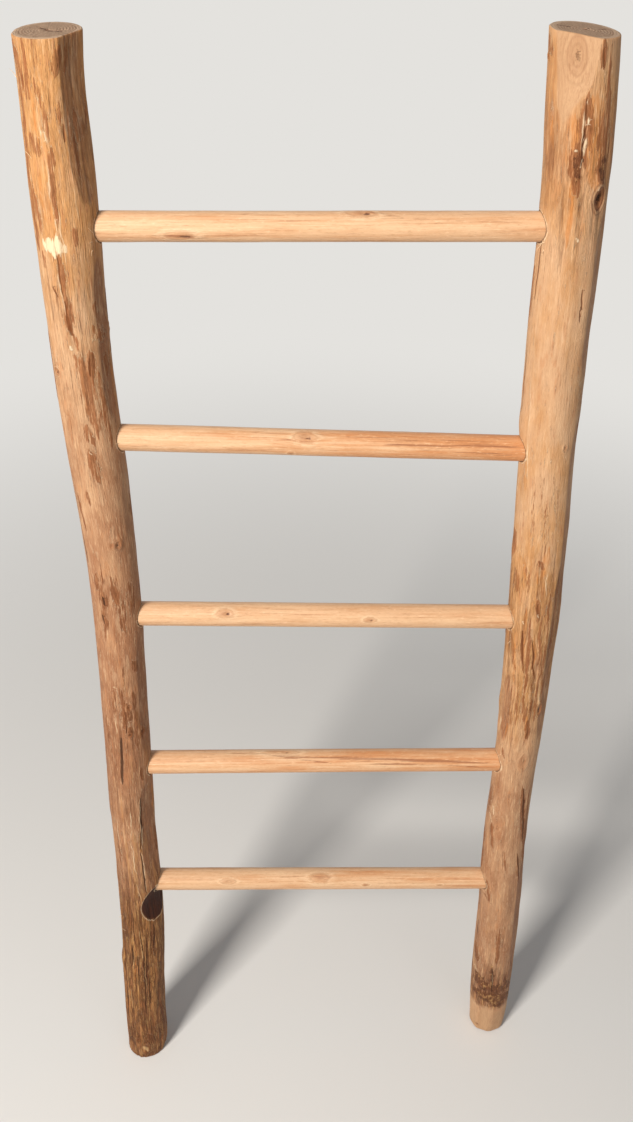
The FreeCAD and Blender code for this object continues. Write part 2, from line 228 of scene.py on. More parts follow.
LEFT["fibres"] = [
    # the first three rows run along the edge of the top flat: a painted highlight on that edge,
    # drawn like fibres
    (1445, 32, 1405, 25, 1.5, 0.4), (1410, 24, 1365, 28, 1.5, 0.5), (1370, 28, 1330, 29, 1.5, 0.4),
    (320, -4, 285, 0, 1.5, 0.8), (275, 1, 250, 4, 2, 0.8), (240, 5, 150, 16, 1.5, 0.6),
    (1420, -20, 1412, -15, 1.5, 0.8), (1418, -13, 1404, -7, 1.5, 0.9),
    (1340, -10, 1324, -8, 2, 0.8), (1212, -13, 1208, -4, 1.5, 0.9),
    (1440, -22, 1380, -12, 2.5, 0.5), (1400, -14, 1350, -11, 2.5, 0.6),
    (1350, -2, 1290, -1, 1.5, 0.6), (1290, -16, 1240, -9, 1.5, 0.6), (1094, -4, 1088, 5, 1.5, 0.8),
    (1112, 8, 1108, 14, 1.5, 0.7), (770, -20, 768, -3, 1.5, 0.9), (720, -19, 690, -17, 1.5, 0.9),
    (580, 27, 510, 28, 1.5, 0.9), (525, 36, 480, 22, 1.5, 0.9), (480, 22, 390, 26, 1.5, 0.9),
    (260, -22, 215, -22, 1.5, 0.8), (320, -3, 245, 3, 1.5, 0.8), (560, 2, 500, -2, 1.5, 0.8),
    (500, -2, 430, 4, 1.5, 0.8), (540, -40, 470, -36, 1.5, 0.7), (420, 2, 370, 8, 1.5, 0.7),
    (180, -32, 120, -34, 1.5, 0.7),
]
LEFT["amber"] = [
    (1470, -30, 1400, -24, 5, 0.5), (1380, -30, 1330, -28, 6, 0.6), (1350, -14, 1300, -12, 5, 0.6),
    (340, -20, 200, -20, 9, 0.7), (300, 20, 120, 22, 9, 0.6), (200, -44, 60, -46, 12, 0.7),
]
LEFT["crust"] = [(52, -60, 30, -30, 12, 0.5)]
LEFT["knots"] = [
    (974, 27, 4, 5, 0.3), (975, 13, 2.5, 3.5, 0.3), (1179, -50, 5, 4.5, 0.4),
    (737, 18, 3.5, 5, 0.4), (691, 16, 3, 4, 0.4), (689, 50, 5, 5, 0.4), (29, 0, 7, 11.5, 0.1),
    (49, -21, 3, 4.5, 0.3), (820, 152, 6, 9, 0.8), (1160, -150, 5, 7, 0.7), (380, 170, 7, 10, 0.7),
]

# %% The marks of the right pole
RIGHT["bark"] = [
    (1450, -2, 1400, -6, 12, 0.9), (1410, -12, 1370, -16, 13, 1), (1440, 8, 1400, 8, 3, 0.6),
    (1435, 18, 1395, 20, 3, 0.7), (1394, 24, 1376, 32, 8, 0.9), (1475, 30, 1390, 44, 9, 0.6),
    (560, 44, 380, 56, 9, 0.8), (860, -20, 700, -12, 6, 0.6), (820, 14, 690, 20, 6, 0.6),
    (900, 18, 760, 26, 5, 0.6), (1400, -24, 1360, -8, 10.5, 0.8), (1435, 24, 1375, 40, 10, 0.7),
    (1480, 32, 1440, 36, 6, 0.6), (1395, 24, 1370, 36, 12, 1), (1492, -96, 1478, -76, 9.5, 0.6),
    (1495, 20, 1470, 20, 6.5, 0.9), (1492, 36, 1476, 32, 3.5, 0.5),
    (1185, 28, 1110, 74, 11.5, 0.35), (1075, -20, 945, 0, 11.5, 0.3), (1095, 24, 1070, 28, 4, 0.4),
    (1060, 4, 965, 28, 7, 0.3), (1050, -40, 970, -24, 5.5, 0.3), (944, -12, 930, -4, 6.5, 0.8),
    (920, -68, 890, -56, 9, 0.7), (930, -40, 895, -30, 6, 0.6), (890, -8, 855, -4, 5.5, 0.9),
    (840, -36, 770, -22, 3.5, 0.9), (830, -12, 760, 4, 3.5, 0.9), (850, 4, 790, 10, 5, 0.6),
    (720, -6, 690, -8, 4.5, 0.7), (695, 4, 660, 8, 6.5, 1), (830, -62, 760, -44, 6.5, 0.6),
    (755, -48, 670, -40, 5, 0.5), (930, 40, 795, 42, 11, 0.45), (785, 32, 720, 34, 6.5, 0.5),
    (570, 16, 480, 40, 6.5, 0.8), (640, -68, 615, -46, 8, 0.5), (760, -34, 675, -24, 6, 0.5),
    (760, 0, 705, 6, 4, 0.6), (490, -56, 440, -44, 7.5, 0.7), (545, 28, 455, 40, 8.5, 0.8),
    (440, 24, 370, 40, 5, 0.7), (445, -12, 405, -4, 3, 0.7), (270, -8, 190, -4, 6, 0.8),
    (210, -84, 175, -62, 13.5, 0.8), (370, -56, 330, -44, 8, 0.7), (336, -70, 324, -32, 7, 0.5),
]
RIGHT["splits"] = [
    (1450, -4, 1425, -5, 2, 0.5), (1425, -5, 1385, -8, 2.5, 0.6), (1270, 19, 1245, 23, 2, 1),
    (1248, 19, 1232, 21, 1.5, 0.6), (885, -7, 860, -6, 2, 0.8), (840, -35, 770, -22, 2, 0.7),
    (830, -10, 765, 4, 2, 0.8), (570, 18, 480, 41, 2.5, 0.8), (545, 29, 460, 40, 3, 0.8),
    (180, -13, 115, -5, 3, 0.9), (440, 26, 375, 40, 2, 0.6), (1490, 20, 1470, 21, 2.5, 0.9),
]
RIGHT["scrapes"] = [
    (1404, -16, 1400, -20, 4.5, 0.9), (1372, 14, 1362, 27, 8.5, 0.5), (158, -77, 152, -56, 9, 0.6),
    (524, -63, 508, -53, 3.5, 0.8), (506, -72, 492, -55, 3.5, 0.8), (1322, -5, 1318, 4, 3, 0.7),
]
RIGHT["fibres"] = [
    (1448, -2, 1440, -3, 1.5, 1), (1432, 0, 1424, -3, 2.5, 1), (1415, -1, 1395, -5, 3, 1),
    (1396, -6, 1384, -10, 2, 0.9), (1440, -8, 1405, -10, 1.5, 0.7), (1372, 35, 1364, 34, 2, 0.4),
    (868, -7, 860, -3, 1.5, 0.9), (854, -38, 846, -34, 1.5, 0.9), (760, 7, 756, 10, 1.5, 1),
    (740, 24, 705, 34, 1.5, 0.9), (170, -13, 120, -3, 1.5, 0.5), (930, 6, 880, 8, 1.5, 0.8),
    (1170, -62, 1100, -58, 1.5, 0.6), (1100, -60, 1040, -52, 1.5, 0.6),
]
RIGHT["amber"] = [
    (1450, 12, 1370, 20, 24, 0.7), (1430, -22, 1370, -16, 13, 0.8), (1400, 14, 1365, 18, 12, 0.9),
    (1450, 4, 1400, 10, 8, 0.8), (1395, 10, 1370, 14, 10, 0.8), (1435, -26, 1405, -24, 6, 0.8),
    (1376, -20, 1356, -16, 9, 1), (1355, -16, 1310, -18, 4.5, 1), (1430, -72, 1395, -60, 6, 0.7),
    (1425, 36, 1375, 44, 5, 0.7), (875, -32, 785, -24, 5, 0.8), (835, -4, 760, 2, 5, 0.8),
    (825, -52, 750, -46, 6, 0.8), (705, -2, 660, 6, 5, 0.8), (680, -50, 645, -54, 4, 0.7),
    (935, -2, 910, -12, 8, 0.8), (935, -48, 910, -40, 5, 0.7), (965, 4, 935, 2, 8, 0.7),
]
RIGHT["crust"] = [
    (1400, -12, 1374, -15, 8, 0.7), (1396, 30, 1372, 35, 8, 0.8), (130, -80, 122, 80, 22, 0.9),
    (104, -70, 96, 60, 24, 1), (118, 100, 108, 250, 24, 0.9), (148, -68, 128, -24, 20, 0.8),
    (186, -16, 112, -4, 8, 0.8), (124, -6, 74, 24, 15.5, 1), (96, -76, 108, -4, 8.5, 0.9),
    (160, 30, 110, 34, 7, 0.7), (92, 30, 84, 100, 16, 0.8),
]
RIGHT["knots"] = [
    (1480, -27, 12, 17, 0.2), (1356, 34, 7.5, 11, 1), (709, 31, 4.5, 10, 0.5),
    (1474, -88, 3, 3, 1), (488, -38, 9, 24, 0.05), (620, 8, 6, 14, 0.05), (17, -45, 4, 3, 0.5),
    (1090, 23, 2.5, 3.5, 0.3), (1040, 160, 6, 9, 0.8), (560, -160, 5, 8, 0.7),
    (250, 140, 6.5, 9, 0.7),
]
for side, pole in POLES.items():
    print(side, "pole:", {kind: len(rows) for kind, rows in pole.items() if kind != "seed"})


# %% Marks for the sides and backs that the front view doesn't show
MARKED_HEIGHTS, HIDDEN_AZIMUTHS, LAST_MARK = (90, 1400), (75, 285), 1484


def hidden_marks(seed, count, widths, lengths, strengths):
    """Random upright marks between azimuth 75 and 285 degrees, the half that the front hides."""
    rng = np.random.default_rng(seed)
    low = rng.uniform(*MARKED_HEIGHTS, count)
    high = low + rng.uniform(*lengths, count)
    start = rng.uniform(*HIDDEN_AZIMUTHS, count)
    end = start + rng.normal(0, 4, count)
    width, strength = rng.uniform(*widths, count), rng.uniform(*strengths, count)
    return list(zip(low, start, np.minimum(high, LAST_MARK), end, width, strength))


# for each kind: what is added to the pole's seed, how many marks, their widths and their lengths
# in mm, and their strengths
HIDDEN = {
    "bark": (0, 70, (5, 12), (22, 80), (0.5, 0.9)),
    "splits": (1, 22, (1.8, 3.2), (25, 90), (0.6, 1)),
    "amber": (30, 26, (4, 9), (40, 110), (0.4, 0.7)),
    "fibres": (2, 16, (1.4, 2.4), (8, 40), (0.6, 0.9)),
}
for pole in POLES.values():
    for kind, (added, *ranges) in HIDDEN.items():
        pole[kind] = pole[kind] + hidden_marks(pole["seed"] + added, *ranges)


# %% [markdown]
# ## How a mark becomes a field
#
# For every point of the surface we ask how deep inside a mark it is: 1 on the mark's middle line,
# one half on its edge, and 0 as far out again. The same field then does two jobs: it moves the
# surface in or out, and it is stored on the points so that the material can colour the same place.
# A little noise is added to the distance across, so no mark has a ruled edge.


# %% Fields of long marks and of knots
MEAN_RADIUS = 30 * MM
LINE_REACH, BESIDE, FADE_LENGTH = 5, 6.0, 14  # in half widths, half widths and mm


def wrap(angle):
    """The same angle between minus half a turn and half a turn."""
    return (angle + math.pi) % TURN - math.pi


def mark_frame(turn, height, radius, mark, wander):
    """For one mark: the points near it, how far along it each lies from -1 to 1, and how many half
    widths to its side. The half width is the square root of 1 - t^2 of the widest, t being the
    place along the mark."""
    low, start, high, end, width, _ = mark
    rise, run = (high - low) * MM, MEAN_RADIUS * math.radians(end - start)
    size = math.hypot(rise, run)
    near = np.abs(height - (low + high) / 2 * MM) < abs(rise) / 2 + 3 * width * MM
    u = radius[near] * wrap(turn[near] - math.radians((start + end) / 2))
    v = height[near] - (low + high) / 2 * MM
    along = 2 * (u * run + v * rise) / size**2
    across = (u * rise - v * run) / size + wander[near]
    half = width / 2 * MM * np.sqrt(np.clip(1 - along**2, 0.02, 1))
    return near, along, across / half


def long_marks(turn, height, radius, marks, wander):
    """The largest of strength x (1 - half of the distance in half widths): 1 on a mark's middle
    line, one half on its edge and 0 as far out again. It fades past the mark's ends."""
    field = np.zeros(turn.shape)
    for mark in marks:
        near, along, side = mark_frame(turn, height, radius, mark, wander)
        inside = np.clip(1 - np.abs(side) / 2, 0, 1) * soft((1.25 - np.abs(along)) / 0.25)
        field[near] = np.maximum(field[near], inside * mark[5])
    return field


def thin_lines(turn, height, radius, marks, wander):
    """A weight that is 1 on a line and 0 at five half widths from it and at its ends, and the
    signed distance in half widths. A line is thinner than a face, but its signed distance is
    straight across a face, so the material can still draw it sharply where it passes through 0."""
    weight, signed = np.zeros(turn.shape), np.full(turn.shape, BESIDE)
    closest = np.zeros(turn.shape)
    for mark in marks:
        near, along, side = mark_frame(turn, height, radius, mark, wander)
        closeness = np.clip(1 - np.abs(side) / LINE_REACH, 0, 1) * (np.abs(along) < 1.5)
        fade = min(0.5, FADE_LENGTH / abs(mark[2] - mark[0] + 1e-3))
        inside = closeness * soft((1 - np.abs(along)) / fade) * mark[5]
        better = closeness > closest[near]
        closest[near] = np.where(better, closeness, closest[near])
        signed[near] = np.where(better, side, signed[near])
        weight[near] = np.where(better, inside, weight[near])
    return weight, signed


def oval_distance(turn, height, radius, oval):
    """0 in the middle of an oval and 1 on its edge: the length of (u, v), which are the distances
    across in half widths and upwards in half heights."""
    level, azimuth, half_width, half_height, _ = oval
    u = radius * wrap(turn - math.radians(azimuth)) / (half_width * MM)
    return np.hypot(u, (height - level * MM) / (half_height * MM))


NO_KNOT = 3.0  # the distance, in a knot's own size, from which on the wood knows of no knot


def note_knot(fields, turn, azimuth, away, depth, swerve):
    """Keeps the distance from the nearest knot and that knot's depth, and bends the grain round
    it, most where it passes close."""
    nearest = away < fields["ring"]
    fields["ring"] = np.where(nearest, away, fields["ring"])
    fields["knot"] = np.where(nearest, depth, fields["knot"])
    fields["bend"] -= swerve * wrap(turn - math.radians(azimuth)) * np.exp(-((away / 1.6) ** 2))


# %% [markdown]
# ## Shaping a pole
#
# The real poles are not round: the peeling knife left long flats with soft ridges between them,
# the foot of the right pole is whittled, and its top has a flat where a branch was cut off. A
# straight cut through a round pole is easy to write in these coordinates: along the direction a,
# a plane at distance d that faces the direction b is reached at the radius d / cos(a - b). The
# pole's surface is simply the smaller of its own radius and that of the cut.

# %% Flats, hollows and wrinkles that show on the real poles
# a peeled flat, which the material paints browner than the rest as painted shade: its lowest and
# highest height, azimuth and depth; a hollow, a scoop (a hollow with a crisp edge) and a swelling:
# height, azimuth, half width, half height and depth; a wrinkle across the grain: its height and its
# first and last azimuth
LEFT["flats"] = [
    (1340, 1570, 57, 4.6), (404, 600, 54, 3.6), (1120, 1300, 66, 1.8), (640, 830, 62, 1.2),
]
LEFT["hollows"] = [(1218, 2, 6, 26, 1.6), (650, -10, 5, 46, 0.9)]
LEFT["scoops"] = [(361, 54, 26, 33, 6.5)]
LEFT["swellings"] = [
    (1216, 70, 20, 22, 2), (737, 20, 12, 24, 0.9), (222, -82, 22, 22, 1.6), (974, 24, 12, 16, 1),
    (1075, 5, 14, 30, 0.8),
]
LEFT["wrinkles"] = [(1219, 30, 95), (1213, 45, 100)]
RIGHT["flats"] = [
    (1160, 1345, 62, 2.4), (860, 1130, 64, 2.6), (640, 760, -62, 1.4), (640, 940, 48, 1.8),
    (160, 420, 58, 2.2),
]
RIGHT["hollows"] = [
    (1400, -6, 8, 52, 1.6), (1352, 38, 9, 15, 2.2), (520, 30, 6, 50, 1.2), (820, 0, 5, 50, 0.8),
    (112, -20, 30, 16, 0.9),
]
RIGHT["scoops"] = []
RIGHT["swellings"] = [
    (1368, 24, 14, 14, 1.4), (709, 33, 12, 22, 1), (1215, 20, 24, 26, 0.9),
    (1105, -86, 16, 26, 1.6), (935, -80, 18, 30, 1.8), (700, -84, 16, 26, 1.4),
]
RIGHT["wrinkles"] = [(1235, -12, 30), (1231, 10, 70), (1217, 12, 48), (1222, 25, 80)]

# %% How brown, golden, streaked and rough a pole is, at some heights in mm
LEFT["brown"] = [
    (0, 1), (350, 1), (450, 0.75), (560, 0.72), (620, 0.95), (790, 0.9), (900, 0.85), (1000, 0.68),
    (1080, 0.55), (1150, 0.42), (1230, 0.28), (1490, 0.2),
]
LEFT["gold"] = [
    (0, 0.9), (330, 0.8), (460, 0.35), (640, 0.35), (780, 0.1), (1000, 0.1), (1250, 0.35),
    (1340, 0.85), (1490, 1),
]
LEFT["streaked"] = [
    (0, 0.5), (380, 0.5), (420, 0.25), (560, 0.2), (640, 0.6), (760, 0.45), (860, 0.75),
    (920, 0.4), (990, 0.35), (1100, 0.55), (1230, 0.7), (1300, 0.55), (1400, 0.7), (1490, 0.75),
]
LEFT["rough"] = [
    (0, 0.9), (330, 1), (390, 0.7), (460, 0.35), (600, 0.35), (860, 0.12), (1000, 0.15),
    (1260, 0.25), (1490, 0.3),
]
RIGHT["brown"] = [
    (0, 0.3), (66, 0.35), (80, 0.85), (150, 0.7), (400, 0.62), (560, 0.6), (640, 0.36),
    (880, 0.36), (960, 0.25), (1060, 0.15), (1320, 0.15), (1365, 0.4), (1385, 0.62), (1425, 0.5),
    (1450, 0.3), (1496, 0.25),
]
RIGHT["gold"] = [
    (0, 0.25), (200, 0.15), (600, 0.1), (700, 0.6), (900, 0.8), (1000, 0.5), (1150, 0.3),
    (1300, 0.35), (1400, 0.7), (1496, 0.5),
]
RIGHT["streaked"] = [
    (0, 0), (60, 0.1), (90, 0.9), (150, 0.7), (220, 0.35), (480, 0.3), (600, 0.25), (690, 0.75),
    (780, 0.8), (920, 0.7), (1000, 0.3), (1100, 0.15), (1340, 0.12), (1375, 0.45), (1430, 0.5),
    (1496, 0.35),
]
RIGHT["rough"] = [
    (0, 0.05), (66, 0.05), (80, 0.7), (140, 0.6), (200, 0.2), (460, 0.15), (640, 0.2), (760, 0.4),
    (900, 0.35), (980, 0.1), (1260, 0.1), (1370, 0.35), (1420, 0.2), (1496, 0.1),
]
PROFILES = ("brown", "gold", "streaked", "rough")


# %% Cuts, hollows and swellings
def profile(height, stations):
    """A value that is known at some heights in mm, with straight lines between them."""
    levels, values = zip(*stations)
    return np.interp(height / MM, levels, values)


def smaller(first, second, blend=0.25 * MM):
    """The smaller of two radii, with the corner between them eased over the blend."""
    share = soft(0.5 + (first - second) / (2 * blend))
    return first + (second - first) * share - blend * share * (1 - share)


def plane_cut(turn, azimuth, distance):
    """distance / cos(a - b) where that direction meets the plane, and a metre away elsewhere."""
    facing = np.cos(turn - np.radians(azimuth))
    return np.where(facing > 0.25, distance / np.maximum(facing, 0.25), 1.0)


def peel_flats(turn, height, radius, flats):
    """The pole after long shallow cuts. A cut runs out at both ends and soon reaches its depth:
    its distance from the middle is the radius less depth x 1.6 (1 - t^2), with t from -1 to 1,
    and never less than the radius less the depth."""
    for low, high, azimuth, depth in flats:
        middle, half = (low + high) / 2 * MM, (high - low) / 2 * MM
        near = np.abs(height - middle) < half
        share = 1 - ((height[near] - middle) / half) ** 2
        distance = radius[near] - depth * MM * np.clip(share * 1.6, 0, 1)
        cut = plane_cut(turn[near], azimuth, distance) + 2 * MM * np.clip(1 - share * 8, 0, 1)
        radius[near] = smaller(radius[near], cut)
    return radius


def scoop_out(turn, height, radius, scoops):
    """The pole after rounded gouge cuts: the floor of a cut lies depth x (1 - d^2) under the
    surface, where d is 1 on its oval edge, and grows past the surface outside it."""
    for scoop in scoops:
        away = oval_distance(turn, height, radius, scoop)
        cut = radius - scoop[4] * MM * (1 - away**2)
        radius = np.where(away < 1.3, smaller(radius, cut), radius)
    return radius


def oval_bumps(turn, height, radius, bumps):
    """The sum of depth x (1 - d^2)^2, where d is 0 in the middle of an oval and 1 on its edge."""
    total = np.zeros(turn.shape)
    for bump in bumps:
        inside = np.clip(1 - oval_distance(turn, height, radius, bump) ** 2, 0, 1)
        total += bump[4] * MM * inside**2
    return total


def wrinkle(turn, height, level, first, last):
    """A low ridge across the grain between two azimuths: depth x exp(-d^2), where d is the
    distance from a line that bends up and down, in half widths."""
    angle = wrap(turn)
    window = soft((angle - math.radians(first)) * 6) * soft((math.radians(last) - angle) * 6)
    bend = 2.5 * MM * np.sin(angle * 3)
    return 0.7 * MM * window * np.exp(-(((height - level * MM + bend) / (1.7 * MM)) ** 2))


RANDOM_FLATS = 75


def random_flats(seed, count):
    """Seeded knife flats all over a pole, each 50 to 170 mm long and up to 1 mm deep."""
    rng = np.random.default_rng(seed)
    low = rng.uniform(0, 1460, count)
    return list(zip(low, low + rng.uniform(50, 170, count), rng.uniform(-180, 180, count),
                    rng.uniform(0.35, 1.0, count)))


# %% The branch flat and the whittled foot
# at some heights: the azimuth that the branch flat faces, and its distance from the pole's middle
# as a share of the radius
FLAT_FACING = [(1415, -47), (1437, -45), (1458, -30), (1500, -25)]
FLAT_DISTANCE = [(1415, 1.03), (1423, 1.0), (1437, 0.95), (1458, 0.85), (1500, 0.73)]
# the whittled foot: the azimuth of each knife cut, its distance from the middle at the floor as a
# share of the radius, and how high it reaches in mm; how far above that it is still worked out,
# and how soft its edges are
WHITTLED = [(-66, 0.93, 34), (-22, 0.9, 64), (20, 0.9, 54), (62, 0.93, 50), (112, 0.9, 60),
            (160, 0.93, 48), (208, 0.9, 58), (255, 0.93, 44)]
RUN_OUT, WHITTLED_BLEND = 14, 2.0 * MM


def branch_flat(turn, height, radius):
    """The flat on top of the right pole, where a branch was cut off. The cut turns to the left
    and comes out of the wood as it goes down."""
    distance = radius * profile(height, FLAT_DISTANCE)
    return plane_cut(turn, profile(height, FLAT_FACING), distance)


def whittled_foot(turn, height, radius):
    """Flat knife cuts round the foot. Each leaves the pole's surface at its own height and comes
    nearer to the middle towards the floor."""
    for azimuth, share, reach in WHITTLED:
        near = height < (reach + RUN_OUT) * MM
        rise = height[near] / (reach * MM)
        distance = radius[near] * (share + (1 - share) * rise)
        cut = plane_cut(turn[near], azimuth, distance)
        radius[near] = smaller(radius[near], cut, WHITTLED_BLEND)
    return radius


# %% [markdown]
# ## The whole surface of a pole
#
# `carve` gives the radius of the finished pole for any direction and height, and the fields that
# its material needs. It is used twice: once to make the grid of points, and once more after the
# bores are cut, to give the fields to the new points as well. First come the fields of the marks,
# then everything that moves the surface. Each noise has its own seed: the pole's plus a number.

# %% The fields of a pole's marks
# a field, the marks that it is made from, and how far their edges wander
LONG_FIELDS = [("stain", "bark", 1), ("scrape", "scrapes", 2), ("amber", "amber", 1.5),
               ("crust", "crust", 2)]
LINE_FIELDS = [("split", "splits", 0.8), ("fibre", "fibres", 1.3)]


def mark_fields(pole, turn, height, own):
    """The fields of a pole's marks and profiles, by name. own is the radius of the CAD pole."""
    seed = pole["seed"]
    wander = (1.0 * noise(turn, height, 14, 16 * MM, seed + 3)
              + 0.6 * noise(turn, height, 30, 7 * MM, seed + 4)) * MM
    fields = {name: profile(height, pole[name]) * np.ones(turn.shape) for name in PROFILES}
    for name, kind, loose in LONG_FIELDS:
        fields[name] = long_marks(turn, height, own, pole[kind], wander * loose)
    for name, kind, loose in LINE_FIELDS:
        fields[name], fields[name + "_side"] = thin_lines(turn, height, own, pole[kind],
                                                          wander * loose)
    fields["ridge"] = (noise(turn, height, 46, 70 * MM, seed + 5)
                       + 0.8 * noise(turn, height, 78, 48 * MM, seed + 6)) * fields["rough"]
    return fields


# %% Carve a pole
def uneven(turn, height, seed, fields):
    """How far the surface stands out, in mm: lumps of three sizes, ridges, inner bark, scales and
    scrapes stand up, and splits lie deeper."""
    return (0.55 * noise(turn, height, 3, 95 * MM, seed + 8)
            + 0.35 * noise(turn, height, 7, 42 * MM, seed + 9)
            + 0.15 * noise(turn, height, 24, 22 * MM, seed + 10)
            + 0.55 * fields["ridge"] + 0.35 * soft(fields["stain"] * 2 - 0.6)
            - 0.5 * soft(fields["split"] * 3 - 1.8)
            + 0.5 * soft(fields["crust"] * 2 - 0.6) * noise(turn, height, 44, 5 * MM, seed + 12)
            + 0.3 * soft(fields["scrape"] * 2 - 0.6))


def press_knots(pole, turn, height, own, radius, fields):
    """Adds the knots: each has a raised rim, 1.1 exp(-((d - 1.1) / 0.4)^2), and a dip in its
    middle, 2.4 x depth x exp(-(d / 0.62)^2), both in mm. The grain bends round it."""
    for knot in pole["knots"]:
        away, depth = oval_distance(turn, height, own, knot), knot[4]
        rise = 1.1 * np.exp(-(((away - 1.1) / 0.4) ** 2)) * (1 - fields["flat"])
        radius += MM * (rise - 2.4 * depth * np.exp(-((away / 0.62) ** 2)))
        note_knot(fields, turn, knot[1], away, depth, 0.55)


def carve(side, turn, height, calm):
    """The radius of a pole and its fields. calm is 0 where the surface must stay as the CAD
    part has it, at the nails' heads, and 1 elsewhere."""
    pole, seed = POLES[side], POLES[side]["seed"]
    own = TRUNKS[side].round(height) * np.ones(turn.shape)
    fields = mark_fields(pole, turn, height, own)
    bare = peel_flats(turn, height, own.copy(), random_flats(seed + 7, RANDOM_FLATS))
    radius = peel_flats(turn, height, bare.copy(), pole["flats"])
    # how far a point lies on one of the listed flats; the material paints these browner as painted
    # shade
    fields["faced"] = soft((bare - radius) / (0.7 * MM))
    radius += calm * MM * uneven(turn, height, seed, fields)
    whole = radius.copy()
    radius = scoop_out(turn, height, radius, pole["scoops"])
    fields["scooped"] = soft((whole - radius) / (0.8 * MM))
    radius -= oval_bumps(turn, height, own, pole["hollows"])
    radius += oval_bumps(turn, height, own, pole["swellings"])
    for row in pole["wrinkles"]:
        radius += wrinkle(turn, height, *row)
    fields["flat"] = np.zeros(turn.shape)
    if side == "right":
        flat = branch_flat(turn, height, own)
        fields["flat"] = soft(0.5 + (radius - flat) / (0.8 * MM))
        radius = smaller(radius, flat, 0.4 * MM)
        bare = radius.copy()
        radius = whittled_foot(turn, height, radius)
        fields["flat"] = np.maximum(fields["flat"], soft((bare - radius) / (0.5 * MM)))
    fields["ring"], fields["knot"] = np.full(turn.shape, NO_KNOT), np.zeros(turn.shape)
    fields["bend"] = np.zeros(turn.shape)
    press_knots(pole, turn, height, own, radius, fields)
    return radius, fields


# %% [markdown]
# ## From the fields to a closed mesh
#
# The grid has one row for each height and one column for each direction. Below the trunk's rows
# come rings that round the rim of the foot and close it, and above them the same for the sawn top,
# whose rows tilt with the saw cut. Two single points close the ends.

# %% Put a surface into a mesh
def add_object(name, data):
    """A new object in the scene, at the origin."""
    obj = bpy.data.objects.new(name, data)
    bpy.context.scene.collection.objects.link(obj)
    return obj


def add_mesh(name, points, faces):
    """A new mesh object from an array of corners and a list of faces."""
    mesh = bpy.data.meshes.new(name)
    mesh.from_pydata(points.tolist(), [], faces)
    mesh.update()
    return add_object(name, mesh)


def quad_tube(rows, columns):
    """The four corners of every face of a tube, wound so that the faces point outwards."""
    row, column = np.divmod(np.arange((rows - 1) * columns), columns)
    after = (column + 1) % columns
    return np.column_stack([row * columns + column, row * columns + after,
                            (row + 1) * columns + after, (row + 1) * columns + column])


def closed_tube(name, rings, low, high):
    """A mesh from an array of rings (rows, columns, 3), closed by one point at each end."""
    rows, columns = rings.shape[:2]
    ring = np.arange(columns)
    after = (ring + 1) % columns
    base, peak = rows * columns, rows * columns + 1
    last = (rows - 1) * columns
    faces = [quad_tube(rows, columns),
             np.column_stack([after, ring, np.full(columns, base)]),
             np.column_stack([last + ring, last + after, np.full(columns, peak)])]
    points = np.concatenate([rings.reshape(-1, 3), [low], [high]])
    return add_mesh(name, points, [face for kind in faces for face in kind.tolist()])


# %% The nails, and where the wood must stay quiet for them
NAIL_GAP = 30 * MM  # less than the height between two nails, and more than a nail's own
QUIET, QUIET_EDGE = 5 * MM, 6 * MM


def nails_of(side):
    """The head's middle and the tip of each nail, from the corners of the CAD nails. The nails
    are told apart by the gaps between their heights."""
    points = read(NODES[f"{side}_rung_nails"].data.vertices, "co")
    points = points[np.argsort(points[:, 2])]
    cuts = np.flatnonzero(np.diff(points[:, 2]) > NAIL_GAP) + 1
    found = []
    for cloud in np.split(points, cuts):
        tip = cloud[cloud[:, 1].argmin()]
        away = np.linalg.norm(cloud - tip, axis=1)
        found.append((cloud[away > away.max() - 0.5 * MM].mean(0), tip))
    return found


NAILS = {side: nails_of(side) for side in TRUNKS}
print("nails:", {side: len(found) for side, found in NAILS.items()})


def quiet_places(side, turn, height):
    """0 within 5 mm of a nail's head and 1 from 11 mm on."""
    calm = np.ones(turn.shape)
    x, y = TRUNKS[side].middle(height)
    radius = TRUNKS[side].round(height)
    place = np.stack([x + radius * np.sin(turn), y - radius * np.cos(turn),
                      height * np.ones(turn.shape)], -1)
    for head, _ in NAILS[side]:
        away = np.linalg.norm(place - head, axis=-1)
        calm = np.minimum(calm, soft((away - QUIET) / QUIET_EDGE))
    return calm


# %% The sawn ends
# a crack on a sawn end: the x and y in mm, from the end's middle, of its two ends, and its width
END_CRACKS = {
    "left": [(-1, -3, 13, -6, 2.6), (6, -5, 18, 1, 1.6), (18, -22, 24, -26, 5),
             (-8, 9, -2, 2, 1.4)],
    "right": [(-3, 2, 4, 3, 2.2), (12, 4, 26, 8, 1.4), (-14, 4, -24, 8, 1.4)],
}
# how far from the middle the rings of an end lie, as a share of its edge
END_RINGS = np.array([0.95, 0.88, 0.8, 0.72, 0.64, 0.56, 0.48, 0.4, 0.32, 0.24, 0.16, 0.08])
RIM_STEPS, SAW_MARKS, SAW_SEED, CRACK_DEPTH = 4, 0.22 * MM, 77, 1.1 * MM


def end_cracks(side, points, centre):
    """1 in the middle of each crack on the sawn top and 0 at its edge and beyond."""
    field = np.zeros(points.shape[:-1])
    for x0, y0, x1, y1, width in END_CRACKS[side]:
        u, v = (points[..., 0] - centre[0]) / MM - x0, (points[..., 1] - centre[1]) / MM - y0
        run, rise = x1 - x0, y1 - y0
        along = np.clip((u * run + v * rise) / (run**2 + rise**2), 0, 1)
        away = np.hypot(u - along * run, v - along * rise)
        field = np.maximum(field, np.clip(1 - away / (width / 2), 0, 1))
    return field


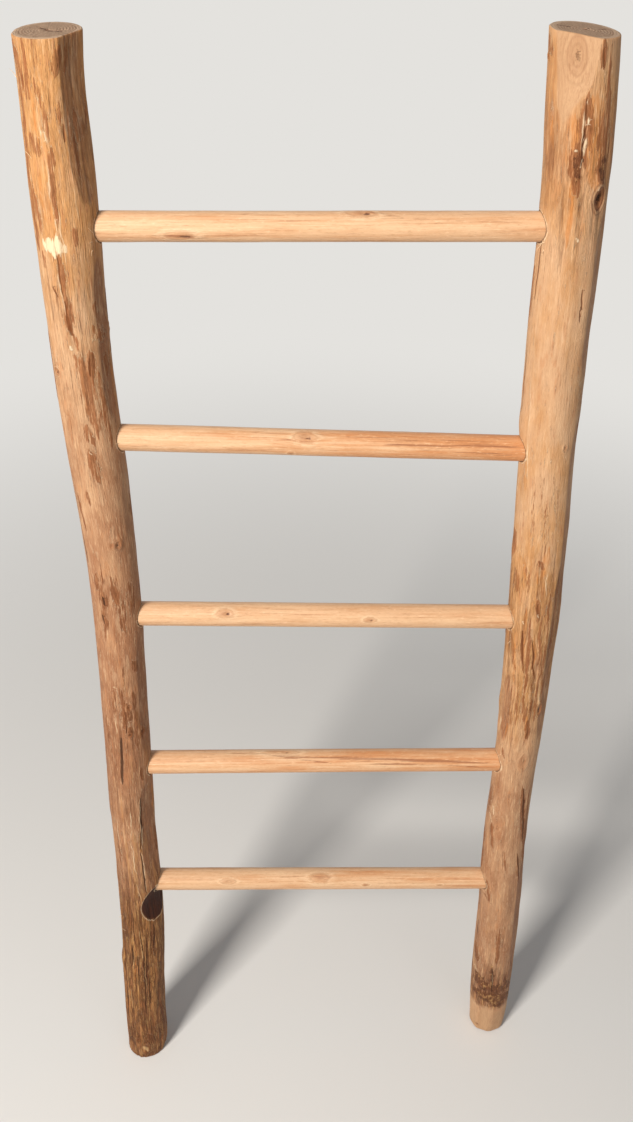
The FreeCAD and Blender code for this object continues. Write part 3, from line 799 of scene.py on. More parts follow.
def close_end(side, turn, end, sign, rim_size):
    """The rings that close one end of a pole, and its middle point: a quarter circle turns from
    the side into the end, and then the rings shrink towards the middle."""
    middle = end.mean(0)
    outward = end - middle
    reach = np.linalg.norm(outward[:, :2], axis=1)
    bend = (np.arange(RIM_STEPS) + 1)[:, None] / RIM_STEPS * math.pi / 2
    inset = rim_size * (1 - np.cos(bend))
    rim = middle + outward * ((reach - inset) / reach)[..., None]
    rim[..., 2] += sign * rim_size * np.sin(bend)
    edge = rim[-1]
    centre = edge.mean(0)
    face = centre + (edge - centre) * END_RINGS[:, None, None]
    if sign > 0:
        grain = noise(turn, END_RINGS[:, None] * MEAN_RADIUS, 26, 3 * MM, SAW_SEED)
        face[..., 2] += SAW_MARKS * grain * (1 - END_RINGS[:, None] ** 6)
        face[..., 2] -= CRACK_DEPTH * end_cracks(side, face, centre)
    else:
        edge[:, 2] = 0.0
        face[..., 2] = 0.0
        centre[2] = 0.0
    return np.concatenate([rim, face]), centre


# %% The grid of a pole
COLUMNS, ROWS, TILT_REACH = 180, 496, 60 * MM
RIM = 1.5 * MM
FOOT_RIMS = {"left": 4.0 * MM, "right": 7.5 * MM}


def pole_rings(side):
    """All rings of a pole, from the middle of its foot to the middle of its top: the points
    (x + r sin a, y - r cos a, height) for every direction a and height."""
    trunk = TRUNKS[side]
    turn = np.linspace(0, TURN, COLUMNS, endpoint=False)[None, :]
    share = np.linspace(0, 1, ROWS)[:, None]
    foot_rim = FOOT_RIMS[side]
    level = foot_rim + share * (trunk.top[2] - RIM - foot_rim)
    turn, level = np.broadcast_arrays(turn, level)
    x, y = trunk.middle(level)
    own = trunk.round(level)
    tilt = trunk.top_above(x + own * np.sin(turn), y - own * np.cos(turn)) - trunk.top[2]
    height = level + tilt * soft(1 - (trunk.top[2] - level) / TILT_REACH)
    radius, _ = carve(side, turn, height, quiet_places(side, turn, height))
    x, y = trunk.middle(height)
    rings = np.stack([x + radius * np.sin(turn), y - radius * np.cos(turn), height], -1)
    foot, low = close_end(side, turn[:1], rings[0], -1, foot_rim)
    top, high = close_end(side, turn[:1], rings[-1], 1, RIM)
    return np.concatenate([foot[::-1], rings, top]), low, high


# %% [markdown]
# ## Boring the poles
#
# Each rung goes into a blind bore. We could leave the rungs stuck through the surface, and from
# afar it would look the same, but a real hole has a rim with a thin dark gap, and it shows from
# the sides. So cylinders are taken away from the pole with a Boolean modifier, which is applied at
# once. The cylinders take their places from the CAD rungs and nails.


# %% Measure the rods, and shape what cuts their bores
def rod_of(node):
    """The middle, direction, half length and radius of a CAD rung, from its corners."""
    points = read(NODES[node].data.vertices, "co")
    middle = (points.min(0) + points.max(0)) / 2
    axis = np.linalg.svd(points - points.mean(0), full_matrices=False)[2][0]
    axis *= np.sign(axis[0])
    along = (points - middle) @ axis
    ends = [points[along * sign > along.max() - 0.2 * MM].mean(0) for sign in (-1, 1)]
    axis = (ends[1] - ends[0]) / np.linalg.norm(ends[1] - ends[0])
    along = (points - middle) @ axis
    across = points - middle - along[:, None] * axis
    return middle, axis, along.max(), np.linalg.norm(across, axis=1).max()


RUNGS = ["bottom_rung", "lower_rung", "middle_rung", "upper_rung", "top_rung"]
RODS = {name: rod_of(name) for name in RUNGS}
for name, (_, _, half, radius) in RODS.items():
    print(name, "is", round(2 * half / MM), "mm long and", round(2 * radius / MM, 1), "mm thick")


def side_axes(axis):
    """The two directions square to a rod's axis: the one that faces the front, and up."""
    up = np.array([0.0, 0.0, 1.0]) - axis * axis[2]
    up /= np.linalg.norm(up)
    return np.cross(up, axis) * np.sign(-np.cross(up, axis)[1]), up


def cylinder(start, end, radius, segments=64):
    """The two rings of corners of a cylinder from one point to another, and how many corners a
    ring has."""
    axis = (end - start) / np.linalg.norm(end - start)
    front, up = side_axes(axis)
    turn = np.linspace(0, TURN, segments, endpoint=False)[:, None]
    ring = radius * (np.cos(turn) * front + np.sin(turn) * up)
    return np.concatenate([start + ring, end + ring]), segments


def recalculate_normals(mesh):
    """Turns every face of a closed mesh outwards."""
    work = bmesh.new()
    work.from_mesh(mesh)
    bmesh.ops.recalc_face_normals(work, faces=work.faces)
    work.to_mesh(mesh)
    work.free()


def joined_cutter(cylinders):
    """One mesh object made of several closed cylinders, each with its faces turned outwards."""
    points, faces, count = [], [], 0
    for corners, n in cylinders:
        points.append(corners)
        ring = np.arange(n)
        after = (ring + 1) % n
        sides = np.column_stack([ring, after, n + after, n + ring]) + count
        faces += sides.tolist() + [(ring[::-1] + count).tolist(), (n + ring + count).tolist()]
        count += 2 * n
    cutter = add_mesh("cutter", np.concatenate(points), faces)
    recalculate_normals(cutter.data)
    return cutter


# %% The bores of a pole
# the room round a rung, how far its bore goes on past it, and from how far in it is cut
BORE_GAP, BORE_PAST, BORE_REACH = 0.3 * MM, 1.0 * MM, 70 * MM
# the seat of a nail's head: its radius, its depth under the head, and how far out it is cut
SEAT_RADIUS, SEAT_DEPTH, SEAT_REACH = 2.95 * MM, 1.3 * MM, 8 * MM


def pole_cutters(side):
    """A cylinder for each bore, a little wider than its rod and as deep as in the CAD part, and
    one for the sunk head of each nail."""
    sign = {"left": -1, "right": 1}[side]
    cylinders = []
    for middle, axis, half, radius in RODS.values():
        floor_of_bore = middle + axis * sign * (half + BORE_PAST)
        mouth = middle + axis * sign * (half - BORE_REACH)
        cylinders.append(cylinder(floor_of_bore, mouth, radius + BORE_GAP))
    for head, tip in NAILS[side]:
        out = (head - tip) / np.linalg.norm(head - tip)
        cylinders.append(cylinder(head - out * SEAT_DEPTH, head + out * SEAT_REACH,
                                  SEAT_RADIUS, segments=32))
    return cylinders


def cut_away(obj, cutter):
    """Takes one mesh away from another and keeps the result as plain faces."""
    modifier = obj.modifiers.new("bores", "BOOLEAN")
    modifier.operation, modifier.object, modifier.solver = "DIFFERENCE", cutter, "EXACT"
    graph = bpy.context.evaluated_depsgraph_get()
    made = bpy.data.meshes.new_from_object(obj.evaluated_get(graph))
    obj.modifiers.clear()
    obj.data = made
    bpy.data.objects.remove(cutter)


# %% [markdown]
# ## Fields for the material
#
# After the cut, each point of the mesh finds its own direction and height again, and gets its
# fields as point attributes. `wood` is the most useful one: it is the place of the point in the
# straightened pole, so that grain made from it follows every bend of the real pole.


# %% Store the fields on the points
def store(mesh, name, values):
    """Puts one number, or one vector, on each point of a mesh."""
    kind, key = ("FLOAT", "value") if values.ndim == 1 else ("FLOAT_VECTOR", "vector")
    attribute = mesh.attributes.new(name, kind, "POINT")
    attribute.data.foreach_set(key, np.ascontiguousarray(values, np.float32).ravel())


def finish_shading(mesh, angle=38):
    """Smooth faces, with edges kept sharp where they turn by more than the angle."""
    mesh.shade_smooth()
    mesh.set_sharp_from_angle(angle=math.radians(angle))


# %% Fields of the sawn ends, the bores and their mouths
# how far under the carved surface an end and the wall of a bore begin, and how near a rung's end
# its mouth can't be any more
END_DEPTH, WALL_DEPTH, MOUTH_LIMIT = 0.8 * MM, 1.0 * MM, 20 * MM


def cut_fields(side, points, own, radius):
    """The fields of sawn ends, bores and their mouths. A point belongs to an end or a bore where
    it lies deeper than the carved surface. A mouth is the distance from a rung's side in mm."""
    height, ceiling = points[:, 2], TRUNKS[side].top_above(points[:, 0], points[:, 1])
    deep = own < radius - END_DEPTH
    on_top = soft((height - ceiling + 1.6 * MM) / (1.0 * MM)) * deep
    on_foot = (height < 0.5 * MM) * deep
    in_bore = (own < radius - WALL_DEPTH) & (on_top + on_foot < 0.5)
    mouth = np.full(len(points), 8.0)
    for middle, axis, half, rod_radius in RODS.values():
        along = (points - middle) @ axis
        off = np.linalg.norm(points - middle - along[:, None] * axis, axis=1) - rod_radius
        near = (np.abs(along) < half - MOUTH_LIMIT) & ~in_bore
        mouth = np.where(near, np.minimum(mouth, off / MM), mouth)
    sawn = np.clip(on_top + on_foot, 0, 1).astype(float)
    crack = end_cracks(side, points, TRUNKS[side].top) * (sawn > 0.5)
    return {"sawn": sawn, "bore": in_bore.astype(float), "mouth": mouth, "crack": crack}


# %% Make the poles
def make_pole(side):
    """A finished pole: grid, bores and fields."""
    rings, low, high = pole_rings(side)
    obj = closed_tube(f"peeled_pole_{side}", rings, low, high)
    cut_away(obj, joined_cutter(pole_cutters(side)))
    points = read(obj.data.vertices, "co")
    x, y = TRUNKS[side].middle(points[:, 2])
    turn = np.arctan2(points[:, 0] - x, y - points[:, 1])
    own = np.hypot(points[:, 0] - x, points[:, 1] - y)
    radius, fields = carve(side, turn, points[:, 2], quiet_places(side, turn, points[:, 2]))
    fields.update(cut_fields(side, points, own, radius))
    grain = turn + fields.pop("bend")
    fields["wood"] = np.column_stack([own * np.sin(grain), -own * np.cos(grain), points[:, 2]])
    for name, values in fields.items():
        store(obj.data, name, values)
    finish_shading(obj.data)
    print(obj.name, "has", len(obj.data.polygons), "faces")
    return obj


poles = {side: make_pole(side) for side in TRUNKS}

# %% [markdown]
# ## The rungs
#
# The rungs are turned or planed round rods, much smoother than the poles, with a few knots. The
# grid is the same kind, laid along the rod's own axis. A knot swells the rod a little and dips in
# its middle, and the wood around it bends, which the material shows.

# %% Knots and dark grain of the rungs
# a knot's place along the rod from its middle in mm, azimuth from the front up in degrees, half
# width, half length and depth
RUNG_KNOTS = {
    "bottom_rung": [(-7, 56, 6, 13, 0.2), (-140, 40, 3.5, 9, 0.2), (60, 17, 2, 4, 0.8),
                    (170, 15, 1.5, 4, 0.7), (-30, -120, 4, 7, 0.5)],
    "lower_rung": [(-60, 96, 3, 18, 0.3), (120, -150, 4, 7, 0.5)],
    "middle_rung": [(-126, 46, 5, 9, 0.55), (49, 19, 2.8, 6, 0.5), (-90, 170, 5, 8, 0.5)],
    "upper_rung": [(-22, 55, 6, 10, 0.35), (-37, -24, 2.4, 3.5, 0.8), (90, 150, 4, 6, 0.5)],
    "top_rung": [(-138, -16, 4, 14, 0.5), (38, 76, 5, 14, 0.5), (20, -130, 4, 6, 0.5)],
}
# a dark stripe of grain: the place along the rod in mm and the azimuth of its two ends, its width
# and its strength
RUNG_STRIPES = {
    "bottom_rung": [(-20, 62, 40, 50, 3, 0.5), (60, 30, 200, 24, 2.5, 0.35),
                    (-80, 60, -10, 70, 2.5, 0.4)],
    "lower_rung": [(-180, 92, 60, 60, 4, 0.7), (-110, 84, 10, 48, 3, 0.8),
                   (0, 58, 215, 40, 4, 0.9), (30, 30, 215, 18, 3, 0.7),
                   (-215, 70, -100, 74, 3, 0.5)],
    "middle_rung": [(-190, 84, -120, 80, 3.5, 0.5), (-150, 40, -100, 30, 5, 0.5),
                    (40, 22, 80, 14, 3, 0.5)],
    "upper_rung": [(-10, 60, 215, 56, 5, 0.5), (60, 30, 220, 34, 6, 0.6),
                   (100, 10, 215, 4, 4, 0.5), (-60, 40, 0, 60, 3, 0.4)],
    "top_rung": [(-165, -12, -110, -20, 4, 0.5), (40, 80, 80, 62, 5, 0.6),
                 (80, 45, 215, 40, 2.5, 0.3), (-100, 20, 40, 14, 2, 0.25)],
}
# how orange each rung is at its left and at its right end
RUNG_WARMTH = {"bottom_rung": (0.3, 0.45), "lower_rung": (0.45, 0.75), "middle_rung": (0.15, 0.2),
               "upper_rung": (0.25, 0.95), "top_rung": (0.3, 0.25)}
ROD_COLUMNS, ROD_ROWS, ROD_RIM = 72, 400, 1.5 * MM
NOISE_START = 0.5  # metres: noise reads heights above 0, and a rod starts left of its middle


# %% Shape a rung
def press_rung_knots(name, turn, along, radius, size, fields):
    """Adds the knots: a low swelling, 0.7 exp(-(d / 1.5)^2), and a dip of 1.1, both in mm, at the
    dark heart, which lies a little beside the middle."""
    for knot in RUNG_KNOTS[name]:
        place, azimuth, half_width, half_length, depth = knot
        beside = (place + 0.4 * half_length, azimuth - 4,
                  0.4 * half_width, 0.4 * half_length, depth)
        core = np.exp(-(oval_distance(turn, along, radius, beside) ** 2)) * min(1, depth * 2.2)
        fields["heart"] = np.maximum(fields["heart"], core)
        away = oval_distance(turn, along, radius, knot)
        size += MM * (0.7 * np.exp(-((away / 1.5) ** 2)) - 1.1 * fields["heart"] * (away < 1.5))
        note_knot(fields, turn, azimuth, away, depth, 0.5)


def shape_rung(name, turn, along):
    """The radius of a rung and its fields, at a direction round it and a place along it. Inside
    the poles the rod is even."""
    _, _, half, radius = RODS[name]
    seed, level = 200 + RUNGS.index(name) * 20, along + NOISE_START
    hidden = soft((np.abs(along) - (half - 55 * MM)) / (12 * MM))
    lumps = (0.22 * noise(turn, level, 4, 70 * MM, seed)
             + 0.1 * noise(turn, level, 11, 30 * MM, seed + 1))
    size = radius - 0.15 * MM + (1 - hidden) * MM * lumps
    wander = 0.5 * MM * noise(turn, level, 10, 18 * MM, 5)
    own = radius * np.ones(turn.shape)
    fields = {"stripe": long_marks(turn, along, own, RUNG_STRIPES[name], wander),
              "ring": np.full(turn.shape, NO_KNOT)}
    for key in ("knot", "bend", "heart"):
        fields[key] = np.zeros(turn.shape)
    press_rung_knots(name, turn, along, radius, size, fields)
    cool, warm = RUNG_WARMTH[name]
    fields["warm"] = cool + (warm - cool) * soft(0.5 + along / (2 * half))
    return size, fields


# %% Build a rung
def make_rung(name):
    """A finished rung. A point is middle + axis x along + radius x (cos, sin) of its direction."""
    middle, axis, half, _ = RODS[name]
    front, up = side_axes(axis)
    turn = np.linspace(0, TURN, ROD_COLUMNS, endpoint=False)[None, :]
    along = np.linspace(-half, half, ROD_ROWS)[:, None]
    turn, along = np.broadcast_arrays(turn, along)
    size, fields = shape_rung(name, turn, along)
    size = size - ROD_RIM * soft((np.abs(along) - half + 1.6 * MM) / (1.6 * MM))
    around = np.cos(turn)[..., None] * front + np.sin(turn)[..., None] * up
    rings = middle + along[..., None] * axis + size[..., None] * around
    obj = closed_tube(f"round_{name}", rings, middle - half * axis, middle + half * axis)
    recalculate_normals(obj.data)
    grain = turn + fields.pop("bend")
    fields["wood"] = np.stack([size * np.cos(grain), size * np.sin(grain), along], -1)
    for key, values in fields.items():
        flat = values.reshape(-1, 3) if values.ndim == 3 else values.ravel()
        ends = np.zeros((2,) + flat.shape[1:])
        store(obj.data, key, np.concatenate([flat, ends]))
    finish_shading(obj.data)
    return obj


rungs = {name: make_rung(name) for name in RUNGS}
print("rungs have", sum(len(obj.data.polygons) for obj in rungs.values()), "faces")

# %% [markdown]
# ## Loose splinters
#
# A drill tears a few fibres loose round each hole, and the peeling knife leaves some along the
# poles. Each one is a thin tapered tube along a short bent line. All of them are one piece, rooted
# a little under the surface of the poles.

# %% Loose splinters
# a splinter: its pole, the height in mm and azimuth of its root, the turn of its direction from
# straight up towards growing azimuth, its length in mm and how far it bends outwards
SPLINTERS = [
    ("left", 1318, 62, -50, 17, 0.15), ("left", 1311, 57, -75, 12, 0.3),
    ("left", 1304, 56, -110, 9, 0.4), ("left", 1092, 62, -40, 8, 0.3),
    ("left", 388, 48, 25, 16, 0.4), ("left", 1451, -80, -20, 10, 0.5),
    ("left", 1388, -44, -30, 9, 0.3), ("left", 301, -48, -50, 9, 0.5),
    ("left", 330, -62, 200, 7, 0.6), ("right", 1306, -74, 200, 8, 0.4),
    ("right", 1304, -64, 160, 7, 0.5), ("right", 1311, -60, 230, 6, 0.4),
    ("right", 812, -64, 200, 7, 0.4), ("right", 622, -55, 215, 8, 0.4),
    ("right", 618, -48, 160, 6, 0.5), ("left", 900, 150, 20, 10, 0.4),
    ("right", 1150, 200, -30, 9, 0.4), ("right", 450, 130, 15, 12, 0.3),
]
ROOT_DEPTH, THICK, TIP = 0.7 * MM, 0.42 * MM, 0.06 * MM


def splinter(side, height, azimuth, lean, length, bend, steps=10, corners=6):
    """The rings of one splinter. Its line is root + length x (t x direction + (0.12 t + bend x
    t^2) x outwards), with t from 0 to 1, and its radius goes down to a point."""
    trunk, turn = TRUNKS[side], np.radians(azimuth)
    radius, _ = carve(side, np.array([turn]), np.array([height * MM]), 1.0)
    x, y = trunk.middle(height * MM)
    outward = np.array([math.sin(turn), -math.cos(turn), 0.0])
    across = np.array([math.cos(turn), math.sin(turn), 0.0])
    up = np.array([0.0, 0.0, 1.0])
    direction = math.cos(math.radians(lean)) * up + math.sin(math.radians(lean)) * across
    root = np.array([x, y, height * MM]) + outward * (radius[0] - ROOT_DEPTH)
    t = np.linspace(0, 1, steps)[:, None]
    line = root + length * MM * (t * direction + (0.12 * t + bend * t * t) * outward)
    thick = THICK * (1 - t) ** 0.7 + TIP
    angle = np.linspace(0, TURN, corners, endpoint=False)
    beside = np.cross(direction, outward)
    ring = np.cos(angle)[:, None] * outward + np.sin(angle)[:, None] * beside
    return line[:, None, :] + thick[..., None] * ring[None]


def loose_splinters(name):
    """All splinters in one mesh: side faces, and a face with six corners at each end."""
    tubes = np.stack([splinter(*row) for row in SPLINTERS])
    count, steps, corners = tubes.shape[:3]
    starts = (np.arange(count) * steps * corners)[:, None, None]
    sides = (quad_tube(steps, corners)[None] + starts).reshape(-1, 4)
    ring = np.arange(corners) + starts[:, 0]
    ends = ring[:, ::-1].tolist() + (ring + (steps - 1) * corners).tolist()
    obj = add_mesh(name, tubes.reshape(-1, 3), sides.tolist() + ends)
    recalculate_normals(obj.data)
    obj.data.shade_smooth()
    return obj


splinters = loose_splinters("loose_splinters")
print(len(SPLINTERS), "splinters with", len(splinters.data.polygons), "faces")

# %% [markdown]
# ## Shader maths as plain arithmetic
#
# A material is a graph of nodes, and long graphs are hard to read. The first class below wraps the
# output of a node so that `1 - mask` or `a * b` adds the right Math node by itself. The second one
# makes the other nodes, and its `paint` lays one colour after another over the wood.


# %% A value in a material
def maths(operation, reflected=False):
    """A method that adds a Math node. Reflected, as for 1 - mask, the other value comes first."""
    def method(self, other=0.0):
        pair = [other, self] if reflected else [self, other]
        return self.graph.node("Math", {"operation": operation}, pair)

    return method


class Value:
    """The output of a node, with operators that add Math nodes."""

    __add__, __radd__ = maths("ADD"), maths("ADD", reflected=True)
    __sub__, __rsub__ = maths("SUBTRACT"), maths("SUBTRACT", reflected=True)
    __mul__, __rmul__ = maths("MULTIPLY"), maths("MULTIPLY", reflected=True)
    larger, size, sine = maths("MAXIMUM"), maths("ABSOLUTE"), maths("SINE")

    def __init__(self, graph, socket):
        self.graph, self.socket = graph, socket

    def step(self, low, high):
        """0 below low, 1 above high and a smooth rise between."""
        return self.graph.node("MapRange", {"interpolation_type": "SMOOTHSTEP"},
                               {"Value": self, "From Min": low, "From Max": high})

    def line(self, inner, outer):
        """1 where the value is within inner of 0, and 0 from outer on: a line where it is 0."""
        return 1 - self.size().step(inner, outer)


# %% The graph of a material
class Graph:
    """The node graph of one material or of the world. coat is the paint so far."""

    def __init__(self, name, kind="materials"):
        self.owner = getattr(bpy.data, kind).new(name)
        self.owner.use_nodes = True
        self.tree = self.owner.node_tree
        self.tree.nodes.clear()
        self.coat = None

    def node(self, kind, settings, inputs, output=0):
        """A node of a kind. Its settings come first, then values or links for its sockets, by
        name or in order."""
        made = self.tree.nodes.new("ShaderNode" + kind)
        for key, value in settings.items():
            setattr(made, key, value)
        pairs = inputs.items() if isinstance(inputs, dict) else enumerate(inputs)
        for key, value in pairs:
            if isinstance(value, Value):
                self.tree.links.new(value.socket, made.inputs[key])
            else:
                made.inputs[key].default_value = value
        return Value(self, made.outputs[output]) if len(made.outputs) else None

    def fields(self, names):
        """The numbers that the mesh stores on its points, for names with spaces between them."""
        return [self.node("Attribute", {"attribute_name": name}, {}, "Fac")
                for name in names.split()]

    def straight_place(self):
        """The point's place in the straightened pole or rod, which the mesh stores as well."""
        return self.node("Attribute", {"attribute_name": "wood"}, {}, "Vector")

    def object_place(self):
        """The point's own place."""
        return self.node("TexCoord", {}, {}, "Object")

    def grain(self, place, across, along, detail=3.0, roughness=0.55):
        """Smooth noise, mostly from -1 to 1, in patches of so many mm across and along the wood."""
        scale = (1000 / across, 1000 / across, 1000 / along)
        scaled = self.node("Mapping", {}, {"Vector": place, "Scale": scale})
        made = self.node("TexNoise", {}, {"Vector": scaled, "Scale": 1.0, "Detail": detail,
                                          "Roughness": roughness})
        return (made - 0.5) * 4

    def mix(self, share, first, second, blend="MIX"):
        """From the first colour to the second as share goes from 0 to 1. The colour sockets of
        this node have the numbers 6 and 7, and its colour comes out of number 2."""
        return self.node("Mix", {"data_type": "RGBA", "blend_type": blend},
                         {0: share, 6: first, 7: second}, 2)

    def paint(self, mask, shade, blend="MIX"):
        """Lays a colour over the coat, as far as the mask says."""
        self.coat = self.mix(mask, self.coat, shade, blend)

    def surface(self, shade, roughness, relief, bump, gloss=0.5, metallic=0.0):
        """The closing Principled shader, on a surface that the relief raises by so many metres at
        a strength. A gloss of 0.5 reflects as glass does, and dry wood reflects less."""
        strength, height = bump
        normal = self.node("Bump", {}, {"Strength": strength, "Distance": height, "Height": relief})
        shader = self.node("BsdfPrincipled", {}, {
            "Specular IOR Level": gloss, "Base Color": shade, "Roughness": roughness,
            "Metallic": metallic, "Normal": normal})
        self.node("OutputMaterial", {}, {"Surface": shader})
        print(self.owner.name, "has", len(self.tree.nodes), "nodes")
        return self.owner


def dress(objects, material):
    """Gives the objects one material, and takes away any other."""
    for obj in objects:
        obj.data.materials.clear()
        obj.data.materials.append(material)


def colour(red, green, blue):
    """A colour written as it is seen on screen, from 0 to 255, turned into the linear values
    that the nodes work in."""
    values = np.array([red, green, blue]) / 255
    linear = np.where(values <= 0.04045, values / 12.92, ((values + 0.055) / 1.055) ** 2.4)
    return (*linear.tolist(), 1.0)


# %% [markdown]
# ## The peeled wood
#
# Peeled wood shows many thin layers: pale sapwood that is golden or brown in places, fine upright
# grain, red inner bark with torn edges, dark splits, pale torn fibres, knots with a dark middle,
# and sawn ends with growth rings. We paint them in that order. Each layer is a mask, a number from
# 0 to 1 made of noise and of the fields that the mesh stores, and a colour.

# %% Colours of the poles
SAPWOOD = colour(206, 162, 122)
SAPWOOD_PALE = colour(228, 190, 150)
GOLDEN = colour(202, 146, 90)
WEATHERED_AND_SHADE_BROWN = colour(158, 106, 72)
BARK_RED = colour(160, 98, 56)
BARK_BROWN = colour(114, 66, 36)
FIBRE_GOLD = colour(212, 164, 104)
SPLIT_RUSTY = colour(122, 68, 32)
SCALE_DARK = colour(82, 46, 22)
AMBER = colour(204, 130, 64)
BARK_DARK = colour(112, 64, 32)
BARK_LIGHT = colour(184, 124, 80)
SPLIT_DARK = colour(58, 30, 15)
GROOVE_BROWN = colour(98, 56, 26)
CREST_GOLD = colour(196, 142, 84)
THREAD_BROWN = colour(176, 140, 118)
FOOT_BROWN = colour(146, 92, 44)
HOLLOW_BROWN = colour(60, 24, 4)
HOLLOW_LIGHT = colour(80, 38, 12)
TORN_PALE = colour(244, 218, 180)
KNOT_BROWN = colour(124, 76, 46)
KNOT_TAN = colour(160, 112, 74)
KNOT_TAN_DARK = colour(140, 94, 60)
CUT_PALE = colour(200, 158, 118)
CUT_TAN = colour(170, 122, 84)
SAWN_PALE = colour(204, 174, 146)
SAWN_GREY = colour(180, 150, 124)
SAWN_DARK = colour(136, 102, 78)
SAWN_RED = colour(150, 94, 64)


# %% Noises and fields of the pole wood
g = Graph("peeled_pole_wood")
place = g.straight_place()
# from broad to fine, then specks and scales
cloud = g.grain(place, 26, 70)
plate = g.grain(place, 8, 30, 4, 0.62)
streak = g.grain(place, 2.8, 38, 4, 0.62)
hair = g.grain(place, 1.2, 17, 3, 0.6)
fine = g.grain(place, 0.55, 5, 2)
speck = g.grain(place, 1.1, 1.6, 2)
scale = g.grain(place, 4, 7, 4, 0.65)
stain, scrape, brown, gold = g.fields("stain scrape brown gold")
streaked, rough, ridge, flat = g.fields("streaked rough ridge flat")
knot, ring, sawn, bore = g.fields("knot ring sawn bore")
faced, amber = g.fields("faced amber")

# %% Sapwood, golden or weathered in places, with painted shade on the flats and lighter and darker plates on it
g.coat = SAPWOOD
g.paint((gold + cloud * 0.4 + plate * 0.2).step(0.2, 0.9), GOLDEN)
# brown zones, and the peeled flats painted browner as painted shade
g.paint((brown + cloud * 0.3 + plate * 0.2 + faced * 0.45).step(0.15, 1.0) * 0.92, WEATHERED_AND_SHADE_BROWN)
g.paint((rough + cloud * 0.1).step(0.6, 1.0) * 0.94, FOOT_BROWN)
g.paint((plate + hair * 0.3).step(0.2, 0.5) * (0.36 - rough * 0.36), SAPWOOD_PALE)
g.paint((streak * 0.3 - plate).step(0.3, 0.55) * 0.4, BARK_LIGHT)
g.paint((streak + hair * 0.35).step(0.2, 0.7) * (streaked * 0.5 + 0.12), BARK_RED)
g.paint((amber + streak * 0.3 + plate * 0.12 + hair * 0.12).step(0.25, 0.7) * 0.62, AMBER)
g.paint((hair + fine * 0.4).step(0.4, 0.8) * (streaked * 0.4 + 0.15), BARK_DARK)
g.paint((0 - hair - streak * 0.5).step(0.45, 0.85) * (0.45 - rough * 0.42), SAPWOOD_PALE)

# %% [markdown]
# The knife left inner bark where the marks are, and in thin streaks wherever the pole is streaked.
# Noise added to a mask before its step is what tears the edge: a step on its own would give a
# smooth oval.

# %% Inner bark
bare = stain + plate * 0.1 + scale * 0.12 + streak * 0.26 + hair * 0.2 + fine * 0.06
loose = streaked * 0.8 + plate * 0.36 + streak * 0.5 + hair * 0.26 - 1.04
bark_mask = bare.step(0.3, 0.54).larger(loose.step(0.0, 0.3) * 0.8) * (1 - flat)
core = (stain * 0.9 + streak * 0.4 + scale * 0.25).step(0.35, 1.0)
bark = g.mix(brown.step(0.4, 0.8) * 0.7, BARK_RED, BARK_BROWN)
bark = g.mix(core, bark, BARK_DARK)
bark = g.mix((0 - hair - fine * 0.6).step(-0.1, 0.5) * 0.6, bark, BARK_LIGHT)
g.paint(bark_mask * 0.85, bark)
edge = (bare - 0.28).line(0.01, 0.05) * (hair + cloud).step(0.0, 0.4) * (1 - flat)
g.paint(edge * 0.6, TORN_PALE)

# %% Grooves, crests, seams and lifted fibres of the rough zones
groove = (hair * 0.12 + fine * 0.05 - ridge).step(0.14, 0.34)
g.paint((ridge + hair * 0.15).step(0.15, 0.4) * 0.4, CREST_GOLD)
g.paint(groove * 0.36, GROOVE_BROWN)
seam = (g.grain(place, 3.4, 120, 3, 0.5) + hair * 0.03).line(0.02, 0.13) * rough.step(0.3, 0.9)
g.paint(seam * 0.6, GROOVE_BROWN)
fissure = (streak + scale * 0.15).line(0.03, 0.22) * rough * (plate + 0.6).step(0.0, 0.5)
g.paint(fissure * 0.75, GROOVE_BROWN)
lifted = (streak + 0.28 + fine * 0.06).line(0.03, 0.1) * (plate + rough).step(0.9, 1.2)
g.paint(lifted * 0.6, FIBRE_GOLD)

# %% Light and dark threads, strongest where the wood is rough
thread = streak * 0.6 + hair * 0.5 + fine * 0.3
strong = rough * 0.45 + streaked * 0.2 + 0.12
g.paint(thread.step(0.1, 0.8) * strong, THREAD_BROWN, "MULTIPLY")
g.paint((0 - thread).step(0.1, 0.8) * strong, g.mix(rough, SAPWOOD_PALE, FIBRE_GOLD))

# %% Scaly bark, dark with pale torn specks between the scales
crust, scooped = g.fields("crust scooped")
crust = (crust + scale * 0.3 + hair * 0.12 + plate * 0.15).step(0.36, 0.48) * (1 - flat)
scales = g.mix((scale * 0.8 + speck * 0.4 + streak * 0.3).step(-0.1, 0.6), BARK_BROWN, SCALE_DARK)
torn_specks = (plate * 0.5 - scale * 0.8 + speck * 0.3).step(0.2, 0.55)
g.paint(crust * 0.85, g.mix(torn_specks * 0.7, scales, FIBRE_GOLD))

# %% The brown wood of the scoop, and its torn pale lip
g.paint(scooped, g.mix((streak + hair * 0.4).step(0.0, 0.8), HOLLOW_BROWN, HOLLOW_LIGHT))
lip = (scooped - 0.2).line(0.05, 0.2) * (hair + plate + 0.8).step(0.0, 0.4)
g.paint(lip * 0.7, TORN_PALE)

# %% Pale cut wood of the branch flat and the whittled foot
cut = g.mix((hair * 0.5 + cloud * 0.5).step(-0.6, 0.8) * 0.6, CUT_PALE, CUT_TAN)
g.paint(flat, g.mix((fine + plate * 0.5).step(0.2, 0.9) * 0.35, cut, WEATHERED_AND_SHADE_BROWN))

# %% [markdown]
# A knot is brown round its edge and ringed inside, and as dark in the middle as it is deep. Its
# rings are the sine of the distance from its middle. Splits and torn fibres are thinner than a
# face of the mesh, so they are drawn where their signed distance passes through 0.

